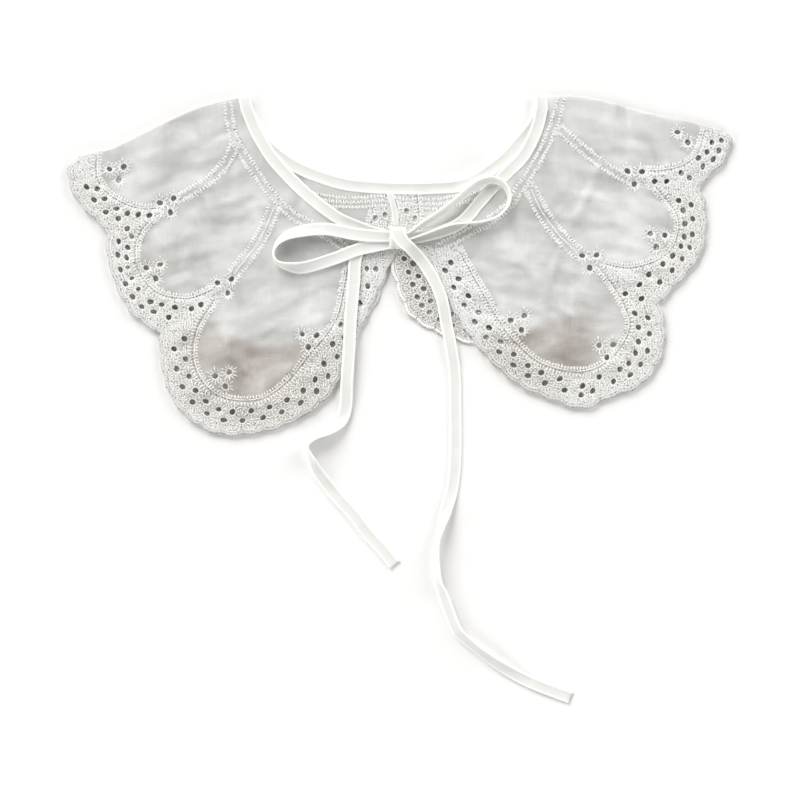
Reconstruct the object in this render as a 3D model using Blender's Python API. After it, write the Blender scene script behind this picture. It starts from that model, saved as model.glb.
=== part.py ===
"""Eyelet lace collar laid flat, tied in a bow at the front.

Each half is one crescent of cotton lawn that runs from the centre front over the shoulder to the
centre back. It is folded at the shoulder, so the front lies on the back. A folded tape binds the
whole neckline, and its two ends are tied in a bow with free tails.

Tables are in millimetres and degrees, seen from above: +X to the right, +Y towards the shoulders,
+Z up from the surface that the collar lies on. Objects are made in metres.
"""

import math

import bmesh
import bpy
from mathutils import Vector
from mathutils.geometry import delaunay_2d_cdt

MM = 0.001

# Walls and gaps.
CLOTH_WALL = 1.0
TAPE_WALL = 1.2
TAPE_WIDTH = 7.5
TIE_WALL = 1.0
SEAM_GAP = 0.3
FRONT_BED = 1.5
FOLD_RADIUS = 1.15
FOLD_STEPS = 6
FOLD_EASE = 9.0
CREASE_EASE = 16.0

# The scalloped rim.
SCALLOP_LENGTH = 13.0
SCALLOP_DEPTH = 1.3
SCALLOP_STEPS = 4

# Eyelets: half length and half width of the cut hole.
EYELET_HALF = (1.95, 1.6)
EYELET_TURN = 0.5
FLOWER_HALF = (1.9, 1.65)
FLOWER_REACH = 5.0
EYELET_SIDES = 6
EYELET_SPACE = 1.0
EDGE_SPACE = 2.2

# Spacing of points inside a panel and along its smooth edges.
GRID_STEP = 14.0
EDGE_STEP = 7.0

# Visible line of each shoulder fold, from the neck to the outer lobe.
FOLDS = {
    "left": [(-89.4, 182.7), (-97.2, 181.2), (-115.8, 177.0), (-133.2, 169.8), (-152.4, 160.8),
             (-171.6, 151.2), (-181.8, 149.4)],
    "right": [(81.0, 182.7), (89.4, 182.1), (109.2, 181.8), (128.4, 177.6), (143.4, 173.4),
              (159.0, 169.8), (174.0, 166.8), (193.2, 161.4)],
}

# Middle line of the neck tape, from the centre to just short of the shoulder fold.
TAPE_ROUTES = {
    "front_left": [(-6.0, 97.2), (-18.0, 100.8), (-33.0, 106.8), (-42.0, 112.2), (-57.0, 124.2),
                   (-69.6, 136.8), (-78.0, 147.0), (-86.4, 161.4), (-91.8, 175.0)],
    "front_right": [(3.0, 96.0), (24.0, 100.8), (37.2, 106.8), (48.0, 118.8), (61.2, 133.2),
                    (73.8, 146.1), (81.6, 161.4), (84.9, 175.0)],
    "back_left": [(-6.0, 126.9), (-30.6, 129.0), (-49.8, 134.4), (-65.4, 141.6), (-78.6, 151.8),
                  (-86.2, 163.0), (-91.8, 175.0)],
    "back_right": [(-6.0, 126.9), (18.0, 126.9), (40.2, 129.6), (60.0, 142.2), (72.0, 154.8),
                   (80.4, 165.0), (84.9, 175.0)],
}

# Rim of each layer from the shoulder fold to the centre: lobe by lobe, each from its first notch.
# The last stretch of a back layer is the plain centre back edge.
RIMS = {
    "front_left": [
        [(-192.6, 144.6), (-198.3, 136.8), (-195.6, 124.8), (-188.4, 114.6), (-176.4, 103.2),
         (-175.2, 99.0)],
        [(-174.6, 86.4), (-169.2, 68.4), (-160.8, 52.8), (-148.8, 43.8), (-143.4, 40.2)],
        [(-142.2, 21.0), (-137.4, 4.2), (-127.2, -9.6), (-110.4, -19.2), (-90.0, -19.8),
         (-66.0, -13.2), (-42.0, 4.2), (-25.8, 39.6), (-6.3, 81.6), (-1.8, 90.0)],
    ],
    "front_right": [
        [(198.0, 155.4), (192.6, 142.2), (181.2, 131.4), (179.4, 126.0)],
        [(182.4, 114.0), (181.2, 92.4), (173.4, 78.6), (162.0, 66.3), (154.8, 58.2)],
        [(157.8, 44.4), (155.4, 25.2), (144.0, 9.6), (124.8, 1.8), (109.8, -4.5), (90.6, 1.2),
         (69.6, 10.8), (46.2, 33.6), (25.8, 66.0), (17.4, 82.8), (6.0, 90.6)],
    ],
    "back_left": [
        [(-192.0, 141.6), (-188.4, 133.2), (-178.8, 123.6), (-165.0, 115.2), (-152.4, 110.4)],
        [(-150.0, 99.0), (-147.0, 85.2), (-139.8, 72.6), (-129.0, 62.4), (-117.6, 55.8)],
        [(-112.8, 45.0), (-100.8, 34.8), (-82.8, 28.8), (-63.0, 30.0), (-45.0, 36.6),
         (-31.2, 42.6), (-20.4, 50.4), (-13.2, 62.4), (-8.4, 79.2)],
        [(-4.2, 102.6), (-2.4, 115.8), (-5.7, 122.6)],
    ],
    "back_right": [
        [(192.6, 152.4), (186.0, 142.8), (174.0, 133.2), (160.8, 124.8), (157.2, 120.0)],
        [(158.4, 111.0), (157.2, 99.0), (151.2, 85.2), (140.4, 73.8), (127.2, 66.0),
         (118.8, 61.2)],
        [(115.2, 51.0), (105.0, 40.2), (88.8, 32.4), (69.0, 29.4), (51.0, 31.8), (33.6, 37.2),
         (19.2, 42.6), (6.0, 51.6), (-0.9, 66.6), (-5.4, 82.8)],
        [(-3.6, 102.6), (-1.8, 115.8), (-5.1, 122.6)],
    ],
}

# Rows of border eyelets: layer, lobe, distance from the lobe's first notch to the first and to the
# last eyelet, inset from the rim at the first, in the middle and at the last, number of eyelets.
EYELET_ROWS = [
    ("front_left", 0, 35, 57, 8.3, 7.4, 6.9, 3), ("front_left", 0, 42, 60, 13.1, 12.2, 12.7, 3),
    ("front_left", 1, 4, 70, 6.8, 5.2, 10.5, 8), ("front_left", 1, 1, 70, 14.5, 9.2, 17.5, 10),
    ("front_left", 2, 10, 171, 7.7, 7.9, 5.6, 13), ("front_left", 2, 4, 177, 14.2, 13.2, 11.0, 14),
    ("front_left", 2, 183, 228, 5.8, 6.0, 6.0, 5), ("front_left", 2, 189, 226, 10.8, 11.0, 11.0, 4),
    ("front_right", 0, 8, 40, 5.5, 5.2, 7.6, 5), ("front_right", 0, 3, 40, 11.5, 10.8, 13.3, 5),
    ("front_right", 1, 8, 68, 7.6, 7.0, 7.6, 7), ("front_right", 1, 2, 69, 14.0, 11.8, 15.5, 8),
    ("front_right", 2, 7, 215, 8.6, 7.2, 6.2, 18), ("front_right", 2, 2, 218, 15.5, 12.4, 11.2, 19),
    ("back_left", 2, 6, 162, 7.4, 7.2, 7.4, 16), ("back_left", 2, 12, 158, 12.6, 13.0, 13.6, 15),
    ("back_left", 3, 10, 31, 6.0, 6.0, 6.0, 3), ("back_left", 3, 14, 28, 11.4, 11.4, 11.4, 2),
    ("back_right", 2, 6, 96, 7.4, 7.2, 7.0, 10), ("back_right", 2, 12, 98, 12.6, 13.0, 12.6, 9),
    ("back_right", 2, 105, 165, 6.1, 8.8, 8.2, 8), ("back_right", 2, 108, 161, 12.5, 14.4, 12.7, 7),
    ("back_right", 3, 10, 31, 6.0, 6.0, 6.0, 3), ("back_right", 3, 14, 28, 11.4, 11.4, 11.4, 2),
]

# Short straight runs of eyelets in the notches: layer, first x and y, last x and y, number.
NOTCH_RUNS = [
    ("front_left", -163.2, 111.6, -150.0, 110.4, 3), ("front_left", -168.6, 108.6, -163.2, 102.6, 2),
    ("front_left", -124.8, 54.6, -119.1, 57.0, 2), ("front_right", 159.6, 130.8, 152.4, 130.8, 2),
    ("front_right", 143.4, 69.0, 144.6, 60.6, 2), ("front_right", 135.0, 63.6, 139.2, 54.6, 2),
]

# Flower sprays, three eyelets round a middle: layer, x, y, turn of the first eyelet.
FLOWERS = [
    ("front_left", -138.8, 117.0, -72), ("front_left", -169.2, 136.4, -80),
    ("front_left", -147.2, 77.6, -78), ("front_left", -104.4, 68.8, -75),
    ("front_left", -105.8, 13.0, -75), ("front_left", -54.4, 36.6, -95),
    ("front_right", 171.0, 159.0, -75), ("front_right", 140.4, 134.2, -92),
    ("front_right", 154.0, 96.6, -97), ("front_right", 113.4, 84.0, -88),
    ("front_right", 71.2, 46.6, -72), ("front_right", 123.6, 30.4, -87),
]

# Number of the stretch in a back layer's rim that is the plain centre back edge.
CENTRE_EDGE = 3

# Soft folds pressed into a front: layer, x, y, direction, half length, half width, rise.
CREASES = [
    ("front_left", -128.0, 150.0, 62, 22, 7, 1.6), ("front_left", -150.0, 132.0, 35, 18, 6, 1.2),
    ("front_left", -118.0, 96.0, 80, 24, 8, 1.5), ("front_left", -90.0, 20.0, 12, 20, 7, 1.3),
    ("front_left", -120.0, 45.0, -30, 18, 7, 1.2), ("front_right", 122.0, 150.0, -62, 22, 7, 1.7),
    ("front_right", 100.0, 92.0, 70, 26, 8, 1.6), ("front_right", 142.0, 110.0, -40, 18, 7, 1.3),
    ("front_right", 96.0, 36.0, -10, 18, 7, 1.2), ("front_right", 94.0, 124.0, 50, 16, 7, 1.1),
]

# Ties: x, y, height of what the tie lies on there, lean of the tie towards standing on edge.
LOOP_LEFT = [
    (-7.6, 97.4, 5.5, 0), (-24.0, 98.6, 5.5, 0), (-44.1, 102.0, 5.2, 8), (-60.0, 100.5, 4.2, 25),
    (-70.0, 96.6, 3.2, 55), (-75.2, 90.0, 2.9, 80), (-74.4, 83.4, 2.9, 82), (-68.4, 80.0, 2.9, 62),
    (-57.0, 79.2, 2.9, 25), (-39.0, 84.6, 3.4, 6), (-24.0, 90.2, 4.2, 0), (-7.6, 93.0, 4.2, 0),
]
LOOP_RIGHT = [
    (6.6, 100.6, 3.2, 76), (14.0, 105.4, 3.2, 70), (28.0, 114.6, 3.2, 64), (43.2, 127.0, 3.0, 58),
    (50.4, 130.8, 2.9, 56), (57.0, 131.4, 2.9, 62), (62.4, 128.0, 2.9, 70), (65.2, 122.4, 2.9, 78),
    (64.4, 116.0, 2.9, 82), (58.8, 110.0, 2.9, 84), (51.0, 107.0, 2.9, 84), (42.0, 105.8, 2.9, 84),
    (30.7, 104.8, 3.0, 82), (19.2, 101.0, 3.0, 80), (7.2, 95.8, 3.0, 78),
]
TAIL_LEFT = [
    (-7.6, 94.0, 2.95, 0), (-17.4, 93.8, 2.95, 0), (-23.8, 90.6, 2.9, 0), (-26.8, 84.0, 2.85, 0),
    (-27.6, 70.8, 2.8, 0), (-29.4, 51.0, 2.8, 0), (-30.6, 28.2, 2.8, 0), (-31.8, 12.0, 2.75, 0),
    (-32.4, -3.0, 1.2, 0), (-34.8, -11.4, 0.0, 12), (-41.4, -17.6, 0.0, 45),
    (-50.4, -22.4, 0.0, 76), (-55.2, -27.6, 0.0, 84), (-53.6, -34.0, 0.0, 62),
    (-48.6, -43.8, 0.0, 22), (-38.7, -57.0, 0.0, 0), (-28.4, -68.4, 0.0, 0),
    (-19.8, -79.8, 0.0, 0), (-12.0, -88.2, 0.0, 0), (-3.0, -99.0, 0.0, 0),
]
TAIL_RIGHT = [
    (-1.4, 102.2, 7.9, 0), (-1.0, 98.6, 7.9, 0), (1.6, 94.6, 7.9, 0), (5.6, 91.0, 7.9, 0),
    (9.2, 87.4, 5.6, 0), (12.4, 84.0, 3.7, 0), (15.2, 80.2, 3.1, 0), (18.2, 75.6, 3.0, 0),
    (22.0, 68.4, 3.0, 0), (24.8, 61.0, 3.0, 0), (26.4, 54.0, 2.4, 0), (27.6, 47.0, 1.6, 0),
    (29.4, 38.0, 1.4, 0), (31.4, 27.0, 0.8, 0),
    (32.8, 16.0, 0.1, 0), (33.2, 0.0, 0.0, 0), (33.2, -33.6, 0.0, 0), (31.4, -52.8, 0.0, 0),
    (28.0, -65.0, 0.0, 18), (24.6, -76.2, 0.0, 60), (22.2, -87.6, 0.0, 76),
    (22.8, -107.4, 0.0, 58), (26.7, -118.8, 0.0, 32), (33.0, -135.6, 0.0, 30),
    (37.8, -142.2, 0.0, 34), (50.4, -152.4, 0.0, 40), (62.4, -160.8, 0.0, 22),
    (78.0, -169.2, 0.0, 0), (102.4, -178.6, 0.0, 0),
]
TIE_STEP = 7.0
TIE_WIDTHS = {"bow_loop_right": 6.6, "tie_tail_right": 7.2}

# Knot: middle, size and turn.
KNOT_CENTRE = (-1.0, 96.6)
KNOT_SIZE = (12.4, 13.2, 4.6)
KNOT_BED = 3.0
KNOT_TURN = 0.0
KNOT_ROUND = 1.9

COTTON = (0.84, 0.84, 0.81)
TAPE_WHITE = (0.90, 0.90, 0.87)


def spline(points, step):
    """Points about a step apart on a smooth curve through the given points."""
    ends = [points[0]] + list(points) + [points[-1]]
    result = []
    for before, start, end, after in zip(ends, ends[1:], ends[2:], ends[3:]):
        span = math.dist(start[:2], end[:2])
        pieces = max(1, round(span / step))
        for piece in range(pieces):
            t = piece / pieces
            weights = (-t ** 3 + 2 * t ** 2 - t, 3 * t ** 3 - 5 * t ** 2 + 2,
                       -3 * t ** 3 + 4 * t ** 2 + t, t ** 3 - t ** 2)
            corners = (before, start, end, after)
            result.append(tuple(0.5 * sum(weight * corner[axis]
                                          for weight, corner in zip(weights, corners))
                                for axis in range(len(start))))
    result.append(tuple(points[-1]))
    return result


def side_step(path, distance):
    """The path moved sideways, to its left for a positive distance."""
    moved = []
    for index, point in enumerate(path):
        before = path[max(index - 1, 0)]
        after = path[min(index + 1, len(path) - 1)]
        along_x = after[0] - before[0]
        along_y = after[1] - before[1]
        length = math.hypot(along_x, along_y)
        moved.append((point[0] - along_y / length * distance,
                      point[1] + along_x / length * distance))
    return moved


def path_length(path):
    return sum(math.dist(a, b) for a, b in zip(path, path[1:]))


def at_distance(path, distance):
    """Point and direction at a distance along a path, which runs on straight past its ends."""
    left = distance
    for start, end in zip(path, path[1:]):
        span = math.dist(start, end)
        if left <= span or end is path[-1]:
            share = left / span
            point = (start[0] + (end[0] - start[0]) * share, start[1] + (end[1] - start[1]) * share)
            return point, math.atan2(end[1] - start[1], end[0] - start[0])
        left -= span


def inside(point, loop):
    """Whether a point lies inside a closed loop."""
    found = False
    for start, end in zip(loop, loop[1:] + loop[:1]):
        if (start[1] > point[1]) != (end[1] > point[1]):
            crossing = start[0] + (point[1] - start[1]) / (end[1] - start[1]) * (end[0] - start[0])
            if point[0] < crossing:
                found = not found
    return found


def edge_distance(point, loop):
    """Distance from a point to a closed loop's line."""
    nearest = math.inf
    for start, end in zip(loop, loop[1:] + loop[:1]):
        span_x = end[0] - start[0]
        span_y = end[1] - start[1]
        reach = (point[0] - start[0]) * span_x + (point[1] - start[1]) * span_y
        share = min(max(reach / (span_x ** 2 + span_y ** 2), 0.0), 1.0)
        foot = (start[0] + span_x * share, start[1] + span_y * share)
        nearest = min(nearest, math.dist(point, foot))
    return nearest


def smooth_share(value):
    value = min(max(value, 0.0), 1.0)
    return value * value * (3.0 - 2.0 * value)


def fold_chain(side):
    """Line where the flat layers end and the shoulder fold starts."""
    outward = 1.0 if side == "right" else -1.0
    return side_step(spline(FOLDS[side], EDGE_STEP), -outward * (FOLD_RADIUS + CLOTH_WALL / 2))


def lobe_paths(layer):
    """Plain rim of each lobe, each starting where the one before it ends."""
    start = fold_chain(layer.split("_")[1])[-1]
    paths = []
    for lobe in RIMS[layer]:
        paths.append(spline([start] + lobe, 2.0))
        start = lobe[-1]
    return paths


def rim_side(layer):
    """Sign of the side step that leads outwards from the rim."""
    return -1.0 if layer.endswith("left") else 1.0


def scalloped(path, outward):
    """The rim with its small even scallops."""
    total = path_length(path)
    count = max(1, round(total / SCALLOP_LENGTH))
    samples = [at_distance(path, total * index / (count * SCALLOP_STEPS))
               for index in range(count * SCALLOP_STEPS)]
    points = []
    for index, (point, angle) in enumerate(samples):
        bulge = SCALLOP_DEPTH * math.sin(math.pi * (index % SCALLOP_STEPS) / SCALLOP_STEPS)
        points.append((point[0] - math.sin(angle) * outward * bulge,
                       point[1] + math.cos(angle) * outward * bulge))
    return points


def neck_edge(layer):
    """Neck edge of a layer beside the tape, from the centre to the shoulder."""
    route = spline(TAPE_ROUTES[layer], EDGE_STEP)
    side = 1.0 if layer.endswith("left") else -1.0
    return side_step(route, side * (TAPE_WIDTH / 2 + SEAM_GAP))


def layer_outline(layer):
    """Closed outline of a layer: fold, rim, neck edge. Returns it with the fold's points."""
    chain = fold_chain(layer.split("_")[1])
    width = TAPE_WIDTH + SEAM_GAP
    start, _ = at_distance(chain, width)
    fold = [start] + [point for index, point in enumerate(chain)
                      if path_length(chain[:index + 1]) > width + EDGE_STEP / 3]
    rim = []
    for lobe, path in enumerate(lobe_paths(layer)):
        plain = lobe == CENTRE_EDGE
        rim += path[:-1:3] if plain else scalloped(path, rim_side(layer))
    neck = [point for point in neck_edge(layer) if math.dist(point, start) > EDGE_STEP / 2]
    return fold + rim[1:] + [RIMS[layer][-1][-1]] + neck, len(fold)


def eyelet_list(layer, outline):
    """Eyelets of a layer as middle, half sizes and turn, none running into another."""
    wanted = []
    for name, x, y, turn in FLOWERS:
        for third in range(3):
            angle = math.radians(turn + 120 * third)
            place = (x + FLOWER_REACH * math.cos(angle), y + FLOWER_REACH * math.sin(angle))
            if name == layer:
                wanted.append((place, FLOWER_HALF, angle))
    paths = lobe_paths(layer)
    for name, lobe, first, last, start, middle, end, count in EYELET_ROWS:
        for index in range(count if name == layer else 0):
            share = index / (count - 1)
            inset = start + (4 * middle - 3 * start - end) * share
            inset += (2 * start + 2 * end - 4 * middle) * share * share
            (x, y), angle = at_distance(paths[lobe], first + (last - first) * share)
            inset *= rim_side(layer)
            place = (x + math.sin(angle) * inset, y - math.cos(angle) * inset)
            wanted.append((place, EYELET_HALF, angle + EYELET_TURN))
    for name, first_x, first_y, last_x, last_y, count in NOTCH_RUNS:
        for index in range(count if name == layer else 0):
            share = index / (count - 1)
            place = (first_x + (last_x - first_x) * share, first_y + (last_y - first_y) * share)
            wanted.append((place, EYELET_HALF, EYELET_TURN))
    kept = []
    for place, half, angle in wanted:
        clear = all(math.dist(place, other) > half[0] + size[0] + EYELET_SPACE
                    for other, size, _ in kept)
        if clear and inside(place, outline) and edge_distance(place, outline) > half[0] + EDGE_SPACE:
            kept.append((place, half, angle))
    return kept


def eyelet_loop(eyelet):
    """Corners of one cut eyelet."""
    (x, y), (long_half, short_half), turn = eyelet
    corners = []
    for index in range(EYELET_SIDES):
        angle = math.tau * index / EYELET_SIDES
        across = long_half * math.cos(angle)
        up = short_half * math.sin(angle)
        corners.append((x + across * math.cos(turn) - up * math.sin(turn),
                        y + across * math.sin(turn) + up * math.cos(turn)))
    return corners


def triangulate(outline, holes):
    """Flat triangles of a layer round its holes: points first the outline's, then the rest."""
    loops = [outline] + holes
    points = [point for loop in loops for point in loop]
    edges = []
    first = 0
    for loop in loops:
        edges += [(first + index, first + (index + 1) % len(loop)) for index in range(len(loop))]
        first += len(loop)
    low_x, high_x = min(p[0] for p in outline), max(p[0] for p in outline)
    low_y, high_y = min(p[1] for p in outline), max(p[1] for p in outline)
    centres = [(sum(p[0] for p in hole) / len(hole), sum(p[1] for p in hole) / len(hole))
               for hole in holes]
    for column in range(int((high_x - low_x) / GRID_STEP) + 1):
        for row in range(int((high_y - low_y) / GRID_STEP) + 2):
            place = (low_x + GRID_STEP * column, low_y + GRID_STEP * (row + 0.5 * (column % 2)))
            if not inside(place, outline) or edge_distance(place, outline) < GRID_STEP * 0.45:
                continue
            if all(math.dist(place, centre) > 5.0 for centre in centres):
                points.append(place)
    found, _, faces, _, _, _ = delaunay_2d_cdt([Vector(p) for p in points], edges, [], 0, 1e-6)
    triangles = []
    for face in faces:
        middle = (sum(found[i][0] for i in face) / 3, sum(found[i][1] for i in face) / 3)
        in_hole = any(math.dist(middle, centre) < 2.5 and inside(middle, hole)
                      for centre, hole in zip(centres, holes))
        if inside(middle, outline) and not in_hole:
            triangles.append(tuple(face))
    return [tuple(point) for point in found], triangles


def crease_rise(layer, point):
    """Height that the soft folds add at a point of a layer."""
    rise = 0.0
    for name, x, y, direction, half_length, half_width, height in CREASES:
        if name != layer:
            continue
        turn = math.radians(direction)
        along = (point[0] - x) * math.cos(turn) + (point[1] - y) * math.sin(turn)
        across = -(point[0] - x) * math.sin(turn) + (point[1] - y) * math.cos(turn)
        rise += height * math.exp(-(along / half_length) ** 2 - (across / half_width) ** 2)
    return rise


def front_height(layer, point, outline, fold_count):
    """Height of the middle of a front layer's wall, which rolls up to its fold."""
    flat = FRONT_BED + CLOTH_WALL / 2
    edge = smooth_share(edge_distance(point, outline) / CREASE_EASE)
    height = flat + crease_rise(layer, point) * edge
    fold_near = min(math.dist(point, corner) for corner in outline[:fold_count])
    rolled = 2 * FOLD_RADIUS + CLOTH_WALL / 2
    return height + (rolled - height) * (1.0 - smooth_share(fold_near / FOLD_EASE))


def finish_object(name, mesh, colour, roughness):
    """An object with its own material, shaded smooth but for its sharp edges."""
    material = bpy.data.materials.new(name + "_cloth")
    material.use_nodes = True
    shader = material.node_tree.nodes["Principled BSDF"]
    shader.inputs["Base Color"].default_value = (*colour, 1.0)
    shader.inputs["Roughness"].default_value = roughness
    shader.inputs["Metallic"].default_value = 0.0
    mesh.materials.append(material)
    mesh.shade_smooth()
    mesh.set_sharp_from_angle(angle=math.radians(40))
    thing = bpy.data.objects.new(name, mesh)
    bpy.context.scene.collection.objects.link(thing)
    return thing


def thicken(thing, wall):
    """Give a middle surface its wall, half to each side."""
    solid = thing.modifiers.new("wall", "SOLIDIFY")
    solid.thickness = wall * MM
    solid.offset = 0.0
    solid.use_even_offset = False


def surface_mesh(name, points, faces):
    mesh = bpy.data.meshes.new(name)
    mesh.from_pydata([Vector(point) * MM for point in points], [], faces)
    mesh.validate()
    return mesh


def shoulder_arc(base, outward, low):
    """Points round a shoulder fold, from the back layer up to the front layer."""
    arc = []
    for step in range(FOLD_STEPS + 1):
        angle = math.pi * step / FOLD_STEPS
        reach = FOLD_RADIUS * math.sin(angle)
        arc.append((base[0] + outward[0] * reach, base[1] + outward[1] * reach,
                    low + FOLD_RADIUS * (1.0 - math.cos(angle))))
    return arc


def outward_at(chain, index, side):
    """Direction that leads away from the collar at a point of its fold."""
    before = chain[max(index - 1, 0)]
    after = chain[min(index + 1, len(chain) - 1)]
    length = math.dist(before, after)
    along = ((after[0] - before[0]) / length, (after[1] - before[1]) / length)
    turn = 1.0 if side == "right" else -1.0
    return (-along[1] * turn, along[0] * turn)


def make_panel(side):
    """One half of the collar: its back layer, the shoulder fold and its front layer."""
    low = CLOTH_WALL / 2
    points = []
    faces = []
    folds = {}
    for layer in ("back_" + side, "front_" + side):
        outline, fold_count = layer_outline(layer)
        holes = [eyelet_loop(eyelet) for eyelet in eyelet_list(layer, outline)]
        flat, triangles = triangulate(outline, holes)
        first = len(points)
        front = layer.startswith("front")
        for place in flat:
            height = front_height(layer, place, outline, fold_count) if front else low
            points.append((place[0], place[1], height))
        for triangle in triangles:
            a, b, c = (first + corner for corner in triangle)
            faces.append((a, b, c) if front else (c, b, a))
        folds[layer] = [first + index for index in range(fold_count)]
        chain = outline[:fold_count]
    ring = [folds["back_" + side]]
    arcs = [shoulder_arc(base, outward_at(chain, index, side), low)
            for index, base in enumerate(chain)]
    for step in range(1, FOLD_STEPS):
        ring.append(list(range(len(points), len(points) + len(chain))))
        points += [arc[step] for arc in arcs]
    ring.append(folds["front_" + side])
    for lower, upper in zip(ring, ring[1:]):
        for index in range(len(chain) - 1):
            quad = (lower[index], lower[index + 1], upper[index + 1], upper[index])
            faces.append(quad if side == "left" else quad[::-1])
    mesh = surface_mesh(side + "_panel", points, faces)
    panel = finish_object(side + "_panel", mesh, COTTON, 0.85)
    thicken(panel, CLOTH_WALL)
    return panel


def tape_sections(layer, height):
    """Inner and outer edge points of a stretch of neck tape, from the centre to the shoulder."""
    side = layer.split("_")[1]
    chain = fold_chain(side)
    outer_end, _ = at_distance(chain, TAPE_WIDTH)
    route = spline(TAPE_ROUTES[layer], EDGE_STEP)
    turn = 1.0 if side == "left" else -1.0
    outer = side_step(route, turn * TAPE_WIDTH / 2)
    inner = side_step(route, -turn * TAPE_WIDTH / 2)
    sections = [((*a, height), (*b, height)) for a, b in zip(inner, outer)]
    return sections, (chain[0], outer_end)


def make_binding():
    """Folded tape round the neckline, over both shoulders, in one strip."""
    low = TAPE_WALL / 2
    high = FRONT_BED + TAPE_WALL / 2
    halves = {}
    for side in ("left", "right"):
        front, ends = tape_sections("front_" + side, high)
        back, _ = tape_sections("back_" + side, low)
        fold_out = outward_at(ends, 0, side)
        arcs = [shoulder_arc(end, fold_out, low) for end in ends]
        fold = list(zip(*arcs))
        halves[side] = front + fold[::-1] + back[::-1]
    strip = halves["left"] + halves["right"][::-1][1:]
    points = [point for section in strip for point in section]
    faces = [(2 * i, 2 * i + 2, 2 * i + 3, 2 * i + 1) for i in range(len(strip) - 1)]
    mesh = surface_mesh("neck_binding", points, faces)
    binding = finish_object("neck_binding", mesh, TAPE_WHITE, 0.8)
    thicken(binding, TAPE_WALL)
    return binding


def make_tie(name, table):
    """A flat tie laid along a route, leaning where the table says."""
    width = TIE_WIDTHS.get(name, TAPE_WIDTH)
    route = spline(table, TIE_STEP)
    sections = []
    for index, (x, y, bed, lean) in enumerate(route):
        before = route[max(index - 1, 0)]
        after = route[min(index + 1, len(route) - 1)]
        length = math.dist(before[:2], after[:2])
        across = (-(after[1] - before[1]) / length, (after[0] - before[0]) / length)
        tilt = math.radians(lean)
        wide = Vector((across[0] * math.cos(tilt), across[1] * math.cos(tilt), math.sin(tilt)))
        thick = Vector((-across[0] * math.sin(tilt), -across[1] * math.sin(tilt), math.cos(tilt)))
        rise = width / 2 * abs(math.sin(tilt)) + TIE_WALL / 2 * math.cos(tilt)
        middle = Vector((x, y, max(bed, 0.0) + rise))
        sections.append([middle + wide * (width / 2 * u) + thick * (TIE_WALL / 2 * v)
                         for u, v in ((-1, -1), (1, -1), (1, 1), (-1, 1))])
    points = [point for section in sections for point in section]
    faces = [(0, 3, 2, 1)]
    for index in range(len(sections) - 1):
        first = 4 * index
        for corner in range(4):
            following = (corner + 1) % 4
            faces.append((first + corner, first + following, first + 4 + following,
                          first + 4 + corner))
    last = 4 * (len(sections) - 1)
    faces.append((last, last + 1, last + 2, last + 3))
    mesh = surface_mesh(name, points, faces)
    check = bmesh.new()
    check.from_mesh(mesh)
    bmesh.ops.recalc_face_normals(check, faces=check.faces)
    check.to_mesh(mesh)
    check.free()
    return finish_object(name, mesh, TAPE_WHITE, 0.8)


def make_knot():
    """The knot: a soft rounded block of wrapped tie."""
    block = bmesh.new()
    bmesh.ops.create_cube(block, size=1.0)
    bmesh.ops.scale(block, vec=Vector(KNOT_SIZE) * MM, verts=block.verts)
    bmesh.ops.bevel(block, geom=block.edges[:], offset=KNOT_ROUND * MM, segments=3,
                    profile=0.5, affect="EDGES")
    mesh = bpy.data.meshes.new("bow_knot")
    block.to_mesh(mesh)
    block.free()
    knot = finish_object("bow_knot", mesh, TAPE_WHITE, 0.8)
    knot.location = Vector((*KNOT_CENTRE, KNOT_BED + KNOT_SIZE[2] / 2)) * MM
    knot.rotation_euler = (0.0, 0.0, math.radians(KNOT_TURN))
    return knot


def main():
    for thing in list(bpy.data.objects):
        bpy.data.objects.remove(thing, do_unlink=True)
    make_panel("left")
    make_panel("right")
    make_binding()
    make_knot()
    make_tie("bow_loop_left", LOOP_LEFT)
    make_tie("bow_loop_right", LOOP_RIGHT)
    make_tie("tie_tail_left", TAIL_LEFT)
    make_tie("tie_tail_right", TAIL_RIGHT)


main()
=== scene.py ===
# %% [markdown]
# An eyelet lace collar, laid flat and tied in a bow.
# The real one is cut from thin cotton lawn, embroidered by machine with holes, ladders of stitches
# and a scalloped border, and bound round the neck with a folded tape that ends in two ties.
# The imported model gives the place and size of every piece. This script only dresses it.

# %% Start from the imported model
import math

import bmesh
import bpy
import numpy as np
from mathutils import Matrix, Vector, noise
from mathutils.geometry import delaunay_2d_cdt


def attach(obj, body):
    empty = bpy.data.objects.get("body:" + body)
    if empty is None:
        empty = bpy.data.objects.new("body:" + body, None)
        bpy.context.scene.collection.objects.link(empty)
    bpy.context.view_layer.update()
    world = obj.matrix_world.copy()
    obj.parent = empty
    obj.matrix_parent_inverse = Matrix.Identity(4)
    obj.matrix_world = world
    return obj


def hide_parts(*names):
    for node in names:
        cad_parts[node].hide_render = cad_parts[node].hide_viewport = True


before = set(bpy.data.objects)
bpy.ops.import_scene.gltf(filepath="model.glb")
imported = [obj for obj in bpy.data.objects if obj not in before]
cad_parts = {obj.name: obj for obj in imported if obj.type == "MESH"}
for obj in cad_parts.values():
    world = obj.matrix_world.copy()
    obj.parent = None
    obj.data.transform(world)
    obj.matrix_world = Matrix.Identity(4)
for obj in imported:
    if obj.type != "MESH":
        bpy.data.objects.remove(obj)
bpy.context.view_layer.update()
MM = 0.001
print("nodes in the frame:", ", ".join(sorted(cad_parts)))

# %% [markdown]
# The cutting table. A pattern cutter would keep these lines on paper: the shoulder folds, the rims
# of the three lobes of each layer, the line of the neck tape, and where the holes and ladders go.
# All of them are in millimetres, seen from above, with +Y towards the shoulders.

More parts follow.
